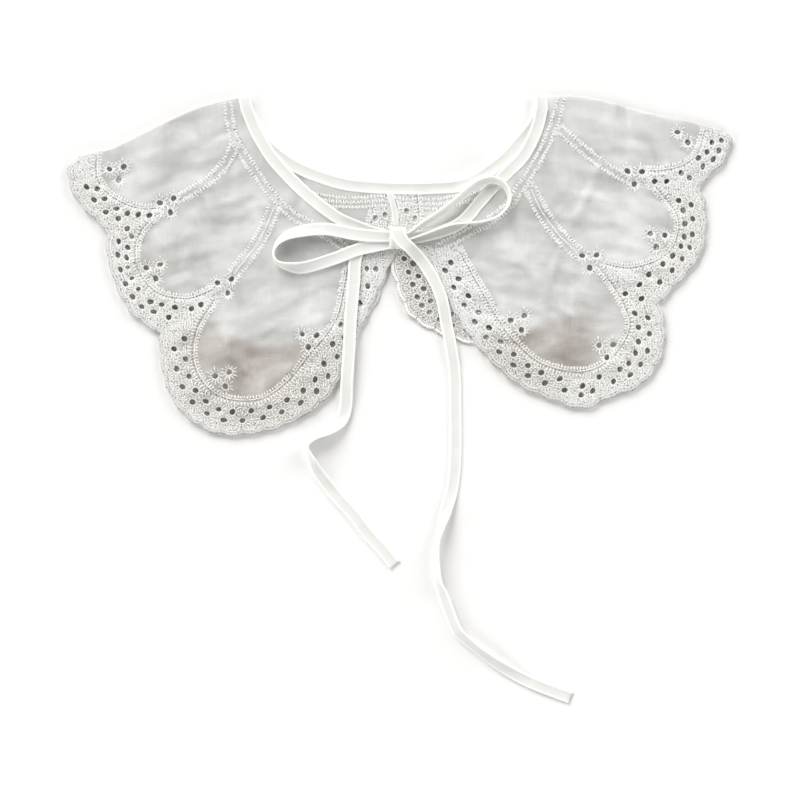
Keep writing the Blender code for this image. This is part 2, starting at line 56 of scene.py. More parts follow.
# %% Sizes of the cloth and its tape
CLOTH_WALL = 0.4
TAPE_WIDTH = 7.5
TAPE_WALL = 1.2
NECK_TUCK = 1.0
BACK_MIDDLE = 0.7
FRONT_MIDDLE = 2.0
FOLD_RADIUS = 1.05
FOLD_EASE = 9.0
CREASE_EASE = 16.0
SCALLOP_LENGTH = 13.0
SCALLOP_DEPTH = 1.3

# %% Lines of the cut
FOLDS = {
    "left": [(-89.4, 182.7), (-97.2, 181.2), (-115.8, 177.0), (-133.2, 169.8), (-152.4, 160.8),
             (-171.6, 151.2), (-181.8, 149.4)],
    "right": [(81.0, 182.7), (89.4, 182.1), (109.2, 181.8), (128.4, 177.6), (143.4, 173.4),
              (159.0, 169.8), (174.0, 166.8), (193.2, 161.4)],
}
TAPE_ROUTES = {
    "front_left": [(-6.0, 97.2), (-18.0, 100.8), (-33.0, 106.8), (-42.0, 112.2), (-57.0, 124.2),
                   (-69.6, 136.8), (-78.0, 147.0), (-86.4, 161.4), (-91.8, 175.0)],
    "front_right": [(3.0, 96.0), (24.0, 100.8), (37.2, 106.8), (48.0, 118.8), (61.2, 133.2),
                    (73.8, 146.1), (81.6, 161.4), (84.9, 175.0)],
    "back_left": [(-6.0, 126.9), (-30.6, 129.0), (-49.8, 134.4), (-65.4, 141.6), (-78.6, 151.8),
                  (-86.2, 163.0), (-91.8, 175.0)],
    "back_right": [(-6.0, 126.9), (18.0, 126.9), (40.2, 129.6), (60.0, 142.2), (72.0, 154.8),
                   (80.4, 165.0), (84.9, 175.0)],
}
RIMS = {
    "front_left": [
        [(-192.6, 144.6), (-198.3, 136.8), (-195.6, 124.8), (-188.4, 114.6), (-176.4, 103.2),
         (-175.2, 99.0)],
        [(-174.6, 86.4), (-169.2, 68.4), (-160.8, 52.8), (-148.8, 43.8), (-143.4, 40.2)],
        [(-142.2, 21.0), (-137.4, 4.2), (-127.2, -9.6), (-110.4, -19.2), (-90.0, -19.8),
         (-66.0, -13.2), (-42.0, 4.2), (-25.8, 39.6), (-6.3, 81.6), (-1.8, 90.0)],
    ],
    "front_right": [
        [(198.0, 155.4), (192.6, 142.2), (181.2, 131.4), (179.4, 126.0)],
        [(182.4, 114.0), (181.2, 92.4), (173.4, 78.6), (162.0, 66.3), (154.8, 58.2)],
        [(157.8, 44.4), (155.4, 25.2), (144.0, 9.6), (124.8, 1.8), (109.8, -4.5), (90.6, 1.2),
         (69.6, 10.8), (46.2, 33.6), (25.8, 66.0), (17.4, 82.8), (6.0, 90.6)],
    ],
    "back_left": [
        [(-192.0, 141.6), (-188.4, 133.2), (-178.8, 123.6), (-165.0, 115.2), (-152.4, 110.4)],
        [(-150.0, 99.0), (-147.0, 85.2), (-139.8, 72.6), (-129.0, 62.4), (-117.6, 55.8)],
        [(-112.8, 45.0), (-100.8, 34.8), (-82.8, 28.8), (-63.0, 30.0), (-45.0, 36.6),
         (-31.2, 42.6), (-20.4, 50.4), (-13.2, 62.4), (-8.4, 79.2)],
        [(-4.2, 102.6), (-2.4, 115.8), (-5.7, 122.6)],
    ],
    "back_right": [
        [(192.6, 152.4), (186.0, 142.8), (174.0, 133.2), (160.8, 124.8), (157.2, 120.0)],
        [(158.4, 111.0), (157.2, 99.0), (151.2, 85.2), (140.4, 73.8), (127.2, 66.0),
         (118.8, 61.2)],
        [(115.2, 51.0), (105.0, 40.2), (88.8, 32.4), (69.0, 29.4), (51.0, 31.8), (33.6, 37.2),
         (19.2, 42.6), (6.0, 51.6), (-0.9, 66.6), (-5.4, 82.8)],
        [(-3.6, 102.6), (-1.8, 115.8), (-5.1, 122.6)],
    ],
}
CENTRE_EDGE = 3
LAYERS = sorted(RIMS)

# %% Places of the holes
# Rows: layer, lobe, first and last distance along its rim, inset at start, middle and end, count.
EYELET_ROWS = [
    ("front_left", 0, 35, 57, 8.3, 7.4, 6.9, 3), ("front_left", 0, 42, 60, 13.1, 12.2, 12.7, 3),
    ("front_left", 1, 4, 70, 6.8, 5.2, 10.5, 8), ("front_left", 1, 1, 70, 14.5, 9.2, 17.5, 10),
    ("front_left", 2, 10, 171, 7.7, 7.9, 5.6, 13), ("front_left", 2, 4, 177, 14.2, 13.2, 11.0, 14),
    ("front_left", 2, 183, 228, 5.8, 6.0, 6.0, 5), ("front_left", 2, 189, 226, 10.8, 11.0, 11.0, 4),
    ("front_right", 0, 8, 40, 5.5, 5.2, 7.6, 5), ("front_right", 0, 3, 40, 11.5, 10.8, 13.3, 5),
    ("front_right", 1, 8, 68, 7.6, 7.0, 7.6, 7), ("front_right", 1, 2, 69, 14.0, 11.8, 15.5, 8),
    ("front_right", 2, 7, 215, 8.6, 7.2, 6.2, 18), ("front_right", 2, 2, 218, 15.5, 12.4, 11.2, 19),
    ("back_left", 2, 6, 162, 7.4, 7.2, 7.4, 16), ("back_left", 2, 12, 158, 12.6, 13.0, 13.6, 15),
    ("back_left", 3, 10, 31, 6.0, 6.0, 6.0, 3), ("back_left", 3, 14, 28, 11.4, 11.4, 11.4, 2),
    ("back_right", 2, 6, 96, 7.4, 7.2, 7.0, 10), ("back_right", 2, 12, 98, 12.6, 13.0, 12.6, 9),
    ("back_right", 2, 105, 165, 6.1, 8.8, 8.2, 8), ("back_right", 2, 108, 161, 12.5, 14.4, 12.7, 7),
    ("back_right", 3, 10, 31, 6.0, 6.0, 6.0, 3), ("back_right", 3, 14, 28, 11.4, 11.4, 11.4, 2),
    ("back_left", 0, 10, 48, 7.0, 7.0, 7.0, 5), ("back_left", 1, 6, 60, 7.0, 7.0, 7.0, 7),
    ("back_left", 1, 10, 56, 12.8, 12.8, 12.8, 5), ("back_right", 0, 10, 48, 7.0, 7.0, 7.0, 5),
    ("back_right", 1, 6, 66, 7.0, 7.0, 7.0, 7), ("back_right", 1, 10, 62, 12.8, 12.8, 12.8, 6),
]
# Short straight runs in the notches: layer, first x and y, last x and y, count.
NOTCH_RUNS = [
    ("front_left", -163.2, 111.6, -150.0, 110.4, 3), ("front_left", -168.6, 108.6, -163.2, 102.6, 2),
    ("front_left", -124.8, 54.6, -119.1, 57.0, 2), ("front_right", 159.6, 130.8, 152.4, 130.8, 2),
    ("front_right", 143.4, 69.0, 144.6, 60.6, 2), ("front_right", 135.0, 63.6, 139.2, 54.6, 2),
]
# Small holes that fill a gap in the inner row: layer, x, y.
SMALL_HOLES = [("front_left", -162.9, 79.5), ("front_left", -160.6, 72.8),
               ("front_left", -156.6, 66.4), ("front_right", 166.6, 121.8)]
# Sprays of three holes: layer, middle x and y, turn of the first hole in degrees.
FLOWERS = [
    ("front_left", -138.8, 117.0, -72), ("front_left", -169.2, 136.4, -80),
    ("front_left", -147.2, 77.6, -78), ("front_left", -104.4, 68.8, -75),
    ("front_left", -105.8, 13.0, -75), ("front_left", -54.4, 36.6, -95),
    ("front_right", 171.0, 159.0, -75), ("front_right", 140.4, 134.2, -92),
    ("front_right", 154.0, 96.6, -97), ("front_right", 113.4, 84.0, -88),
    ("front_right", 71.2, 46.6, -72), ("front_right", 123.6, 30.4, -87),
]
# Half length and half width of each kind of hole.
EYELET_HALF = (1.95, 1.6)
FLOWER_HALF = (1.9, 1.65)
SMALL_HALF = (1.45, 1.2)
EYELET_TURN = 0.5
FLOWER_REACH = 5.0
EYELET_SPACE = 1.0
EDGE_SPACE = 2.2

# %% Middle lines of the ladders
# "rim" ladders part a lobe's field from the border, "bar" ladders part two lobes.
LADDERS = {
    "front_left": {
        "rim_a": [(-181.2, 148.2), (-181.5, 135.0), (-177.0, 126.0), (-166.5, 118.5),
                  (-154.5, 114.6), (-144.0, 115.2)],
        "rim_b": [(-144.0, 111.6), (-153.0, 103.2), (-157.8, 94.2), (-158.1, 85.2),
                  (-156.6, 78.6), (-151.8, 70.2), (-143.4, 63.6), (-133.2, 61.2), (-124.8, 61.2),
                  (-112.8, 66.0)],
        "rim_c": [(-110.4, 60.0), (-120.0, 45.0), (-123.6, 33.0), (-123.0, 21.0), (-117.0, 9.6),
                  (-108.0, 2.4), (-95.4, -0.6), (-81.6, 1.2), (-67.8, 10.8), (-54.0, 27.6),
                  (-43.8, 39.6), (-37.2, 51.0), (-33.6, 66.6), (-31.2, 80.4)],
        "bar_ab": [(-99.0, 152.4), (-105.0, 141.0), (-115.5, 130.5), (-132.0, 120.6)],
        "bar_bc": [(-75.0, 116.4), (-84.0, 96.0), (-99.0, 75.6)],
        "neck": [(-103.2, 178.2), (-101.4, 165.0), (-97.8, 153.6), (-87.0, 136.8), (-76.8, 123.0),
                 (-64.8, 111.0), (-52.8, 104.4), (-33.6, 91.8)],
    },
    "front_right": {
        "rim_a": [(182.4, 161.4), (178.2, 148.8), (170.4, 141.0), (157.2, 137.4), (147.6, 137.4)],
        "rim_b": [(148.8, 130.8), (154.2, 125.4), (160.2, 118.8), (165.0, 111.6), (166.8, 103.8),
                  (164.4, 94.2), (159.0, 87.0), (148.8, 81.6), (135.9, 79.2), (122.4, 81.6)],
        "rim_c": [(118.2, 79.8), (126.6, 69.6), (133.2, 58.2), (137.4, 46.8), (135.0, 36.6),
                  (126.6, 25.2), (114.6, 18.0), (101.4, 17.1), (84.0, 22.2), (70.8, 33.0),
                  (61.8, 43.8), (48.6, 66.0), (35.4, 90.0)],
        "bar_ab": [(96.0, 162.0), (108.0, 151.2), (121.8, 140.4), (134.4, 133.2)],
        "bar_bc": [(78.6, 126.0), (84.6, 113.4), (96.0, 97.8), (106.8, 87.6)],
        "neck": [(96.6, 180.6), (93.6, 169.2), (87.6, 153.6), (79.8, 138.6), (72.0, 127.2),
                 (64.8, 116.4), (52.8, 106.8), (41.4, 100.8), (24.0, 91.8)],
    },
    "back_left": {
        "neck": [(-8.4, 119.4), (-16.8, 119.0), (-28.8, 118.4), (-47.4, 120.0), (-64.8, 126.6),
                 (-82.8, 139.2), (-96.0, 156.0), (-103.2, 172.8)],
    },
    "back_right": {
        "neck": [(-0.6, 117.8), (10.8, 117.2), (27.6, 118.2), (49.2, 126.0), (67.2, 138.0),
                 (82.8, 153.6), (93.0, 172.8)],
    },
}
# The back's rim ladders follow its rim, this far in, and start and end short of its notches.
BACK_BORDER = 16.5
CENTRE_BORDER = 14.0
BACK_LADDER_TRIM = 10.0
LADDER_STEP = 1.5
# Sideways place of each row of stitches on a ladder, with the stitch length.
LADDER_ROWS = {
    "rim": [(-2.0, 2.7), (2.0, 3.0)], "bar_ab": [(-2.3, 3.1), (2.3, 3.1)],
    "bar_bc": [(-3.3, 3.4), (3.3, 3.4)], "neck": [(-2.1, 2.8), (2.1, 2.8)],
    "neck_back": [(-2.9, 2.6), (2.9, 2.6)],
}
# Sideways place of the cord that runs along a ladder between its rows.
LADDER_CORDS = {"rim": -0.6, "bar_bc": 0.0}
# Drawn-thread holes beside the cord: length along the ladder, width, spacing, sideways place.
LADDER_HOLES = {"rim": (0.85, 0.6, 2.0, 0.3)}

# %% Routes of the ties
# Rows: x, y, height of what the tie lies on, lean towards standing on edge in degrees.
TIES = {
    "bow_loop_left": [
        (-5.0, 97.4, 5.4, 0), (-24.0, 98.6, 5.5, 0), (-44.1, 102.0, 5.2, 8), (-60.0, 100.5, 4.2, 25),
        (-70.0, 96.6, 3.2, 55), (-75.2, 90.0, 2.9, 80), (-74.4, 83.4, 2.9, 82),
        (-68.4, 80.0, 2.9, 62), (-57.0, 79.2, 2.9, 25), (-39.0, 84.6, 3.4, 6),
        (-24.0, 90.2, 4.2, 0), (-5.0, 93.6, 4.2, 0)],
    "bow_loop_right": [
        (2.6, 97.8, 3.6, 72), (6.6, 100.2, 3.2, 74), (14.0, 105.4, 3.2, 70), (28.0, 114.6, 3.2, 64),
        (43.2, 127.0, 3.0, 58), (50.4, 130.8, 2.9, 56), (57.0, 131.4, 2.9, 62),
        (62.4, 128.0, 2.9, 70), (65.2, 122.4, 2.9, 78), (64.4, 116.0, 2.9, 82),
        (58.8, 110.0, 2.9, 84), (51.0, 107.0, 2.9, 84), (42.0, 105.8, 2.9, 84),
        (30.7, 104.8, 3.0, 82), (19.2, 101.0, 3.0, 80), (7.2, 96.6, 3.0, 78),
        (3.0, 95.2, 3.4, 74)],
    "tie_tail_left": [
        (-7.6, 94.0, 2.95, 0), (-17.4, 93.8, 2.95, 0), (-23.8, 90.6, 2.9, 0), (-26.8, 84.0, 2.85, 0),
        (-27.6, 70.8, 2.8, 0), (-29.4, 51.0, 2.8, 0), (-30.6, 28.2, 2.8, 0), (-31.8, 12.0, 2.75, 0),
        (-32.4, -3.0, 1.2, 0), (-34.8, -11.4, 0.0, 12), (-41.4, -17.6, 0.0, 45),
        (-50.4, -22.4, 0.0, 76), (-55.2, -27.6, 0.0, 84), (-53.6, -34.0, 0.0, 62),
        (-48.6, -43.8, 0.0, 22), (-38.7, -57.0, 0.0, 0), (-28.4, -68.4, 0.0, 0),
        (-19.8, -79.8, 0.0, 0), (-12.0, -88.2, 0.0, 0), (-3.0, -99.0, 0.0, 0)],
    "tie_tail_right": [
        (-1.3, 103.4, 6.0, 0), (-1.3, 102.2, 7.9, 0), (-0.8, 98.6, 8.2, 0), (1.6, 94.6, 8.2, 0),
        (5.6, 91.0, 7.9, 0), (9.2, 87.4, 5.6, 0), (12.4, 84.0, 3.7, 0), (15.2, 80.2, 3.1, 0),
        (18.2, 75.6, 3.0, 0), (22.0, 68.4, 3.0, 0), (24.8, 61.0, 3.0, 0), (26.4, 54.0, 2.4, 0),
        (27.6, 47.0, 1.6, 0), (29.4, 38.0, 1.4, 0), (31.4, 27.0, 0.8, 0), (32.8, 16.0, 0.1, 0),
        (33.2, 0.0, 0.0, 0), (33.2, -33.6, 0.0, 0), (31.4, -52.8, 0.0, 0),
        (28.0, -65.0, 0.0, 18), (24.6, -76.2, 0.0, 60), (22.2, -87.6, 0.0, 76),
        (22.8, -107.4, 0.0, 58), (26.7, -118.8, 0.0, 32), (33.0, -135.6, 0.0, 30),
        (37.8, -142.2, 0.0, 34), (50.4, -152.4, 0.0, 40), (62.4, -160.8, 0.0, 22),
        (78.0, -169.2, 0.0, 0), (102.4, -178.6, 0.0, 0)],
}
TIE_WIDTHS = {"bow_loop_left": 7.5, "bow_loop_right": 6.6, "tie_tail_left": 7.5,
              "tie_tail_right": 7.2}
TIE_WALL = 0.9

# %% Soft folds of the cloth
# Rows: layer, x, y, direction in degrees, half length, half width, rise.
CREASES = [
    ("front_left", -128.0, 150.0, 62, 22, 7, 1.4), ("front_left", -150.0, 132.0, 35, 18, 6, 1.0),
    ("front_left", -84.0, 74.0, 9, 17, 2.6, 0.8), ("front_left", -102.0, 119.0, 20, 13, 2.4, 0.7),
    ("front_left", -73.6, 25.4, 15, 15, 2.4, 0.7), ("front_left", -140.8, 156.4, -76, 9, 3, 0.7),
    ("front_left", -129.4, 99.4, -22, 12, 4.5, 1.0), ("front_left", -92.0, 50.0, 6, 22, 5, 1.0),
    ("front_left", -118.0, 40.0, -12, 12, 4, 0.7), ("front_right", 112.4, 123.0, 68, 21, 2.3, 1.5),
    ("front_right", 92.0, 78.3, 72, 19, 2.3, 1.6), ("front_right", 125.8, 164.0, -20, 13, 3.2, 0.9),
    ("front_right", 131.0, 107.0, -40, 13, 3.2, 1.0), ("front_right", 61.0, 91.0, -23, 22, 6, 1.3),
    ("front_right", 104.0, 60.0, -14, 20, 5, 1.1), ("front_right", 96.0, 34.0, -4, 18, 3, 0.6),
    ("front_right", 146.0, 116.0, -62, 12, 3, 0.7),
]
WRINKLE_RISE = 1.4
WRINKLE_LIFT = 0.5
WRINKLE_LENGTH = 27.0
WRINKLE_WIDTH = 10.0
# Roughness, gap and number of the noise's octaves.
WRINKLE_NOISE = (1.0, 2.0, 4)
# Sideways lean of the wrinkles for each unit along them.
WRINKLE_LEAN = {"left": 0.32, "right": -0.22}
# The cloth stays down this near to the middle of a tie, and is free this much farther out.
TIE_PRESS = 4.5
TIE_PRESS_EASE = 14.0

# %% [markdown]
# Everything follows a few curves, so the first helpers walk along a curve, step to its side and
# measure how far a point lies from it. They take whole arrays, because the cloth has thousands of
# points, and a loop over them in Python would be slow.

# %% Curves and distances
# Points that are compared with a line in one go, to spare memory.
CHUNK = 3000


def smooth_path(points, step):
    """Points about a step apart on a smooth curve through the given rows."""
    rows = np.array(points, float)
    rows = np.vstack([rows[:1], rows, rows[-1:]])
    found = []
    for before, start, end, after in zip(rows, rows[1:], rows[2:], rows[3:]):
        pieces = max(1, round(math.dist(start[:2], end[:2]) / step))
        t = np.arange(pieces)[:, None] / pieces
        found.append(0.5 * ((-t ** 3 + 2 * t ** 2 - t) * before
                            + (3 * t ** 3 - 5 * t ** 2 + 2) * start
                            + (-3 * t ** 3 + 4 * t ** 2 + t) * end + (t ** 3 - t ** 2) * after))
    return np.vstack(found + [rows[-1:]])


def side_step(path, distance):
    """A flat path moved to its left, or to its right for a negative distance."""
    heading = np.gradient(path[:, :2], axis=0)
    heading /= np.linalg.norm(heading, axis=1)[:, None]
    return path[:, :2] + distance * np.column_stack([-heading[:, 1], heading[:, 0]])


def left_of(heading):
    """Steps of length one to the left of each heading, in radians."""
    return np.column_stack([-np.sin(heading), np.cos(heading)])


def points_round(x, y, along, across, turn):
    """Flat points round x and y, from their offsets along and across a turn in radians."""
    return np.column_stack([x + along * math.cos(turn) - across * math.sin(turn),
                            y + along * math.sin(turn) + across * math.cos(turn)])


def run_along(points):
    """Distance walked to each of a row of points, in as many directions as they have."""
    return np.concatenate([[0.0], np.cumsum(np.linalg.norm(np.diff(points, axis=0), axis=1))])


def path_run(path):
    """Distance walked to each point of a path, seen from above."""
    return run_along(path[:, :2])


def walk(path, distances):
    """Places and headings at distances along a path, which runs on straight past its end."""
    longer = np.vstack([path[:, :2], path[-1, :2] + (path[-1, :2] - path[-2, :2]) * 20])
    run = path_run(longer)
    distances = np.atleast_1d(np.asarray(distances, float))
    spot = np.clip(np.searchsorted(run, distances) - 1, 0, len(longer) - 2)
    heading = (longer[spot + 1] - longer[spot]) / (run[spot + 1] - run[spot])[:, None]
    places = longer[spot] + heading * (distances - run[spot])[:, None]
    return places, np.arctan2(heading[:, 1], heading[:, 0])


def inside(points, loop):
    """Whether each point lies inside a closed loop."""
    end = np.roll(loop, -1, axis=0)
    rise = end[:, 1] - loop[:, 1]
    slope = (end[:, 0] - loop[:, 0]) / np.where(rise == 0, 1e9, rise)
    answers = []
    for part in np.array_split(points, len(points) // CHUNK + 1):
        y = part[:, 1, None]
        crosses = (loop[:, 1] > y) != (end[:, 1] > y)
        reach = loop[:, 0] + (y - loop[:, 1]) * slope
        answers.append((crosses & (part[:, 0, None] < reach)).sum(axis=1) % 2 == 1)
    return np.concatenate(answers)


def line_distance(points, line):
    """Distance from each point to a line of straight pieces."""
    start = line[:-1]
    span = line[1:] - start
    answers = []
    for part in np.array_split(points, len(points) // CHUNK + 1):
        offset = part[:, None] - start
        share = np.clip((offset * span).sum(2) / (span ** 2).sum(1), 0.0, 1.0)
        answers.append(np.sqrt(((offset - share[..., None] * span) ** 2).sum(2).min(1)))
    return np.concatenate(answers)


def closed(loop):
    """A loop with its first point again at its end."""
    return np.vstack([loop, loop[:1]])


def smooth_share(value):
    """A value from 0 to 1 that starts and ends level."""
    value = np.clip(value, 0.0, 1.0)
    return value * value * (3.0 - 2.0 * value)


# %% Outline of a layer
EDGE_STEP = 2.5
RIM_STEPS = 8
FOLD_REACH = FOLD_RADIUS + CLOTH_WALL / 2


def fold_chain(side, reach=FOLD_REACH):
    """Line where the flat layers end and the roll of the shoulder fold starts."""
    outward = 1.0 if side == "right" else -1.0
    return side_step(smooth_path(FOLDS[side], EDGE_STEP), -outward * reach)


def rim_side(layer):
    """Sign of the side step that leads outwards from the rim."""
    return -1.0 if layer.endswith("left") else 1.0


def lobe_paths(layer):
    """Plain rim of each lobe, each starting where the one before it ends."""
    start = tuple(fold_chain(layer.split("_")[1])[-1])
    paths = []
    for lobe in RIMS[layer]:
        paths.append(smooth_path([start] + lobe, 2.0))
        start = lobe[-1]
    return paths


def scalloped(path, outward):
    """A lobe's rim with its small even scallops."""
    total = path_run(path)[-1]
    count = max(1, round(total / SCALLOP_LENGTH))
    step = np.arange(count * RIM_STEPS)
    places, heading = walk(path, total * step / len(step))
    bulge = outward * SCALLOP_DEPTH * np.sin(np.pi * (step % RIM_STEPS) / RIM_STEPS)
    return places + bulge[:, None] * left_of(heading)


def neck_edge(layer):
    """Neck edge of a layer, tucked a little under the tape."""
    route = smooth_path(TAPE_ROUTES[layer], EDGE_STEP)
    side = 1.0 if layer.endswith("left") else -1.0
    return side_step(route, side * (TAPE_WIDTH / 2 - NECK_TUCK))


def layer_outline(layer):
    """The closed outline of a layer, how many of its points lie on the fold, and its rim."""
    chain = fold_chain(layer.split("_")[1])
    width = TAPE_WIDTH - NECK_TUCK
    start = walk(chain, width)[0]
    fold = np.vstack([start, chain[path_run(chain) > width + EDGE_STEP / 3]])
    rim = [path[:-1] if lobe == CENTRE_EDGE else scalloped(path, rim_side(layer))
           for lobe, path in enumerate(lobe_paths(layer))]
    rim = np.vstack(rim + [RIMS[layer][-1][-1]])
    neck = neck_edge(layer)
    neck = neck[np.linalg.norm(neck - start, axis=1) > EDGE_STEP / 2]
    return np.vstack([fold, rim[1:], neck]), len(fold), rim


OUTLINES = {layer: layer_outline(layer) for layer in LAYERS}
for layer in LAYERS:
    x, y = OUTLINES[layer][0].T
    area = abs(np.dot(x, np.roll(y, 1)) - np.dot(y, np.roll(x, 1))) / 2
    print(layer, "outline points:", len(x), "area in square centimetres:", round(area / 100, 1))

# %% [markdown]
# Eyelets are punched, then overcast with thread, so no two are quite alike. The table gives their
# places; a seeded random draw gives each one a slightly different size and turn.

# %% Holes of a layer
CHANCE = np.random.default_rng(12)
# Least and greatest share of an eyelet's length and width, and how far it turns either way.
LENGTH_SPREAD = (0.86, 1.04)
WIDTH_SPREAD = (0.80, 1.02)
TURN_SPREAD = 0.4


def eyelet_list(layer):
    """Rows of x, y, half length, half width, turn and kind, none running into another."""
    outline = OUTLINES[layer][0]
    wanted = []
    for name, x, y, turn in FLOWERS:
        for third in range(3 if name == layer else 0):
            angle = math.radians(turn + 120 * third)
            wanted.append((x + FLOWER_REACH * math.cos(angle), y + FLOWER_REACH * math.sin(angle),
                           *FLOWER_HALF, angle, 1.0))
    paths = lobe_paths(layer)
    for name, lobe, first, last, start, middle, end, count in EYELET_ROWS:
        if name != layer:
            continue
        share = np.arange(count) / (count - 1)
        inset = start + (4 * middle - 3 * start - end) * share
        inset += (2 * start + 2 * end - 4 * middle) * share * share
        places, heading = walk(paths[lobe], first + (last - first) * share)
        inset *= rim_side(layer)
        for (x, y), turn, depth in zip(places, heading, inset):
            wanted.append((x + math.sin(turn) * depth, y - math.cos(turn) * depth,
                           *EYELET_HALF, turn + EYELET_TURN, 0.0))
    for name, first_x, first_y, last_x, last_y, count in NOTCH_RUNS:
        for share in np.linspace(0, 1, count) if name == layer else ():
            wanted.append((first_x + (last_x - first_x) * share,
                           first_y + (last_y - first_y) * share, *EYELET_HALF, EYELET_TURN, 0.0))
    wanted += [(x, y, *SMALL_HALF, EYELET_TURN, 0.0) for name, x, y in SMALL_HOLES if name == layer]
    places = np.array(wanted)[:, :2]
    fits = inside(places, outline)
    fits &= line_distance(places, closed(outline)) > EYELET_HALF[0] + EDGE_SPACE
    kept = []
    for row, fit in zip(wanted, fits):
        if fit and all(math.dist(row[:2], other[:2]) > row[2] + other[2] + EYELET_SPACE
                       for other in kept):
            kept.append(row)
    kept = np.array(kept)
    kept[:, 2] *= CHANCE.uniform(*LENGTH_SPREAD, len(kept))
    kept[:, 3] *= CHANCE.uniform(*WIDTH_SPREAD, len(kept))
    kept[:, 4] += CHANCE.uniform(-TURN_SPREAD, TURN_SPREAD, len(kept))
    return kept


EYELETS = {layer: eyelet_list(layer) for layer in LAYERS}
print("holes:", {layer: len(rows) for layer, rows in EYELETS.items()})

# %% [markdown]
# A ladder is an open-looking line of embroidery: two combs of slanted strands, some with a cord or
# with crossed bars between them. The ladders along the border have a row of tiny drawn-thread holes
# beside their cord too. The holes are cut here, and the stitches are laid over the cloth later.

# %% Ladder lines and their holes
def ladder_lines(layer):
    """Names and fine paths of a layer's ladders."""
    lines = {name: smooth_path(table, LADDER_STEP) for name, table in LADDERS[layer].items()}
    if layer.startswith("back"):
        lines["neck_back"] = lines.pop("neck")
        for lobe, path in enumerate(lobe_paths(layer)):
            depth = CENTRE_BORDER if lobe == CENTRE_EDGE else BACK_BORDER
            total = path_run(path)[-1]
            trim = 0.0 if lobe == CENTRE_EDGE else BACK_LADDER_TRIM
            distances = np.arange(trim, total - trim, LADDER_STEP)
            places, heading = walk(path, distances)
            inner = -rim_side(layer) * depth
            moved = places + inner * left_of(heading)
            # Every fourth point is enough, and gives a smoother line.
            lines["rim_%d" % lobe] = smooth_path(moved[::4], LADDER_STEP)
    return lines


def ladder_kind(name):
    """Name of the pattern that a ladder follows."""
    return "rim" if name.startswith("rim") else name


LINES = {layer: ladder_lines(layer) for layer in LAYERS}
LADDER_HOLE_SIDES = 8
# Where two ladders meet, holes keep this share of their spacing from each other.
LADDER_HOLE_NEAR = 0.85
EYELET_CLEARANCE = 3.0
EDGE_CLEARANCE = 1.7


def ladder_holes(layer):
    """Closed loops of the small holes along a layer's ladders, clear of its eyelets and edges."""
    outline = closed(OUTLINES[layer][0])
    loops = []
    taken = np.full((1, 2), 1e6)
    angle = (np.arange(LADDER_HOLE_SIDES) + 0.5) * math.tau / LADDER_HOLE_SIDES
    for name, path in LINES[layer].items():
        if ladder_kind(name) not in LADDER_HOLES:
            continue
        length, width, spacing, middle = LADDER_HOLES[ladder_kind(name)]
        distances = np.arange(1.0, path_run(path)[-1] - 1.0, spacing)
        spots, heading = walk(path, distances)
        centres = spots + left_of(heading) * middle * rim_side(layer)
        clear = np.linalg.norm(centres[:, None] - EYELETS[layer][:, :2], axis=2).min(1)
        fits = (clear > EYELET_CLEARANCE) & inside(centres, outline[:-1])
        fits &= line_distance(centres, outline) > EDGE_CLEARANCE
        for centre, turn in zip(centres[fits], heading[fits]):
            if np.linalg.norm(taken - centre, axis=1).min() < spacing * LADDER_HOLE_NEAR:
                continue
            taken = np.vstack([taken, centre])
            loops.append(points_round(*centre, length / 2 * np.cos(angle),
                                      width / 2 * np.sin(angle), turn))
    return loops


PIN_HOLES = {layer: ladder_holes(layer) for layer in LAYERS}
print("ladder holes:", {layer: len(loops) for layer, loops in PIN_HOLES.items()})

# %% [markdown]
# Height of the cloth. The back layer lies flat, but for one corner that curls up. The front lies
# over it, lifts in soft folds, and rolls up to the shoulder fold. Noise adds the small creases of
# lawn that was never ironed.

# %% Height of a layer
def crease_rise(layer, points):
    """Height that the soft folds and small wrinkles add at points of a front layer."""
    rise = np.zeros(len(points))
    for name, x, y, direction, half_length, half_width, height in CREASES:
        if name != layer:
            continue
        turn = math.radians(direction)
        along = (points[:, 0] - x) * math.cos(turn) + (points[:, 1] - y) * math.sin(turn)
        across = -(points[:, 0] - x) * math.sin(turn) + (points[:, 1] - y) * math.cos(turn)
        rise += height * np.exp(-(along / half_length) ** 2 - (across / half_width) ** 2)
    lean = WRINKLE_LEAN[layer.split("_")[1]]
    wrinkles = [noise.fractal(Vector(((x + lean * y) / WRINKLE_LENGTH,
                                      (y - lean * x) / WRINKLE_WIDTH, 0.0)), *WRINKLE_NOISE)
                for x, y in points]
    free = np.ones(len(points))
    for table in TIES.values():
        away = line_distance(points, np.array(table)[:, :2])
        free *= smooth_share((away - TIE_PRESS) / TIE_PRESS_EASE)
    return (rise + WRINKLE_LIFT + WRINKLE_RISE * np.array(wrinkles)) * free


# The corner of the right back layer that shows between the fronts: middle, reach and rise.
FLAP_CORNER = (4.0, 72.0)
FLAP_REACH = (20.0, 32.0)
FLAP_RISE = 1.05


def layer_height(layer, points):
    """Height of the middle of the cloth at points of a layer."""
    if layer.startswith("back"):
        off = (points - FLAP_CORNER) / FLAP_REACH
        curl = smooth_share(1.0 - (off ** 2).sum(axis=1)) if layer.endswith("right") else 0.0
        return BACK_MIDDLE + FLAP_RISE * curl * np.ones(len(points))
    outline, fold_count, _ = OUTLINES[layer]
    edge = smooth_share(line_distance(points, closed(outline)) / CREASE_EASE)
    height = FRONT_MIDDLE + crease_rise(layer, points) * edge
    fold_near = line_distance(points, outline[:fold_count])
    rolled = 2 * FOLD_RADIUS + BACK_MIDDLE
    return height + (rolled - height) * (1.0 - smooth_share(fold_near / FOLD_EASE))


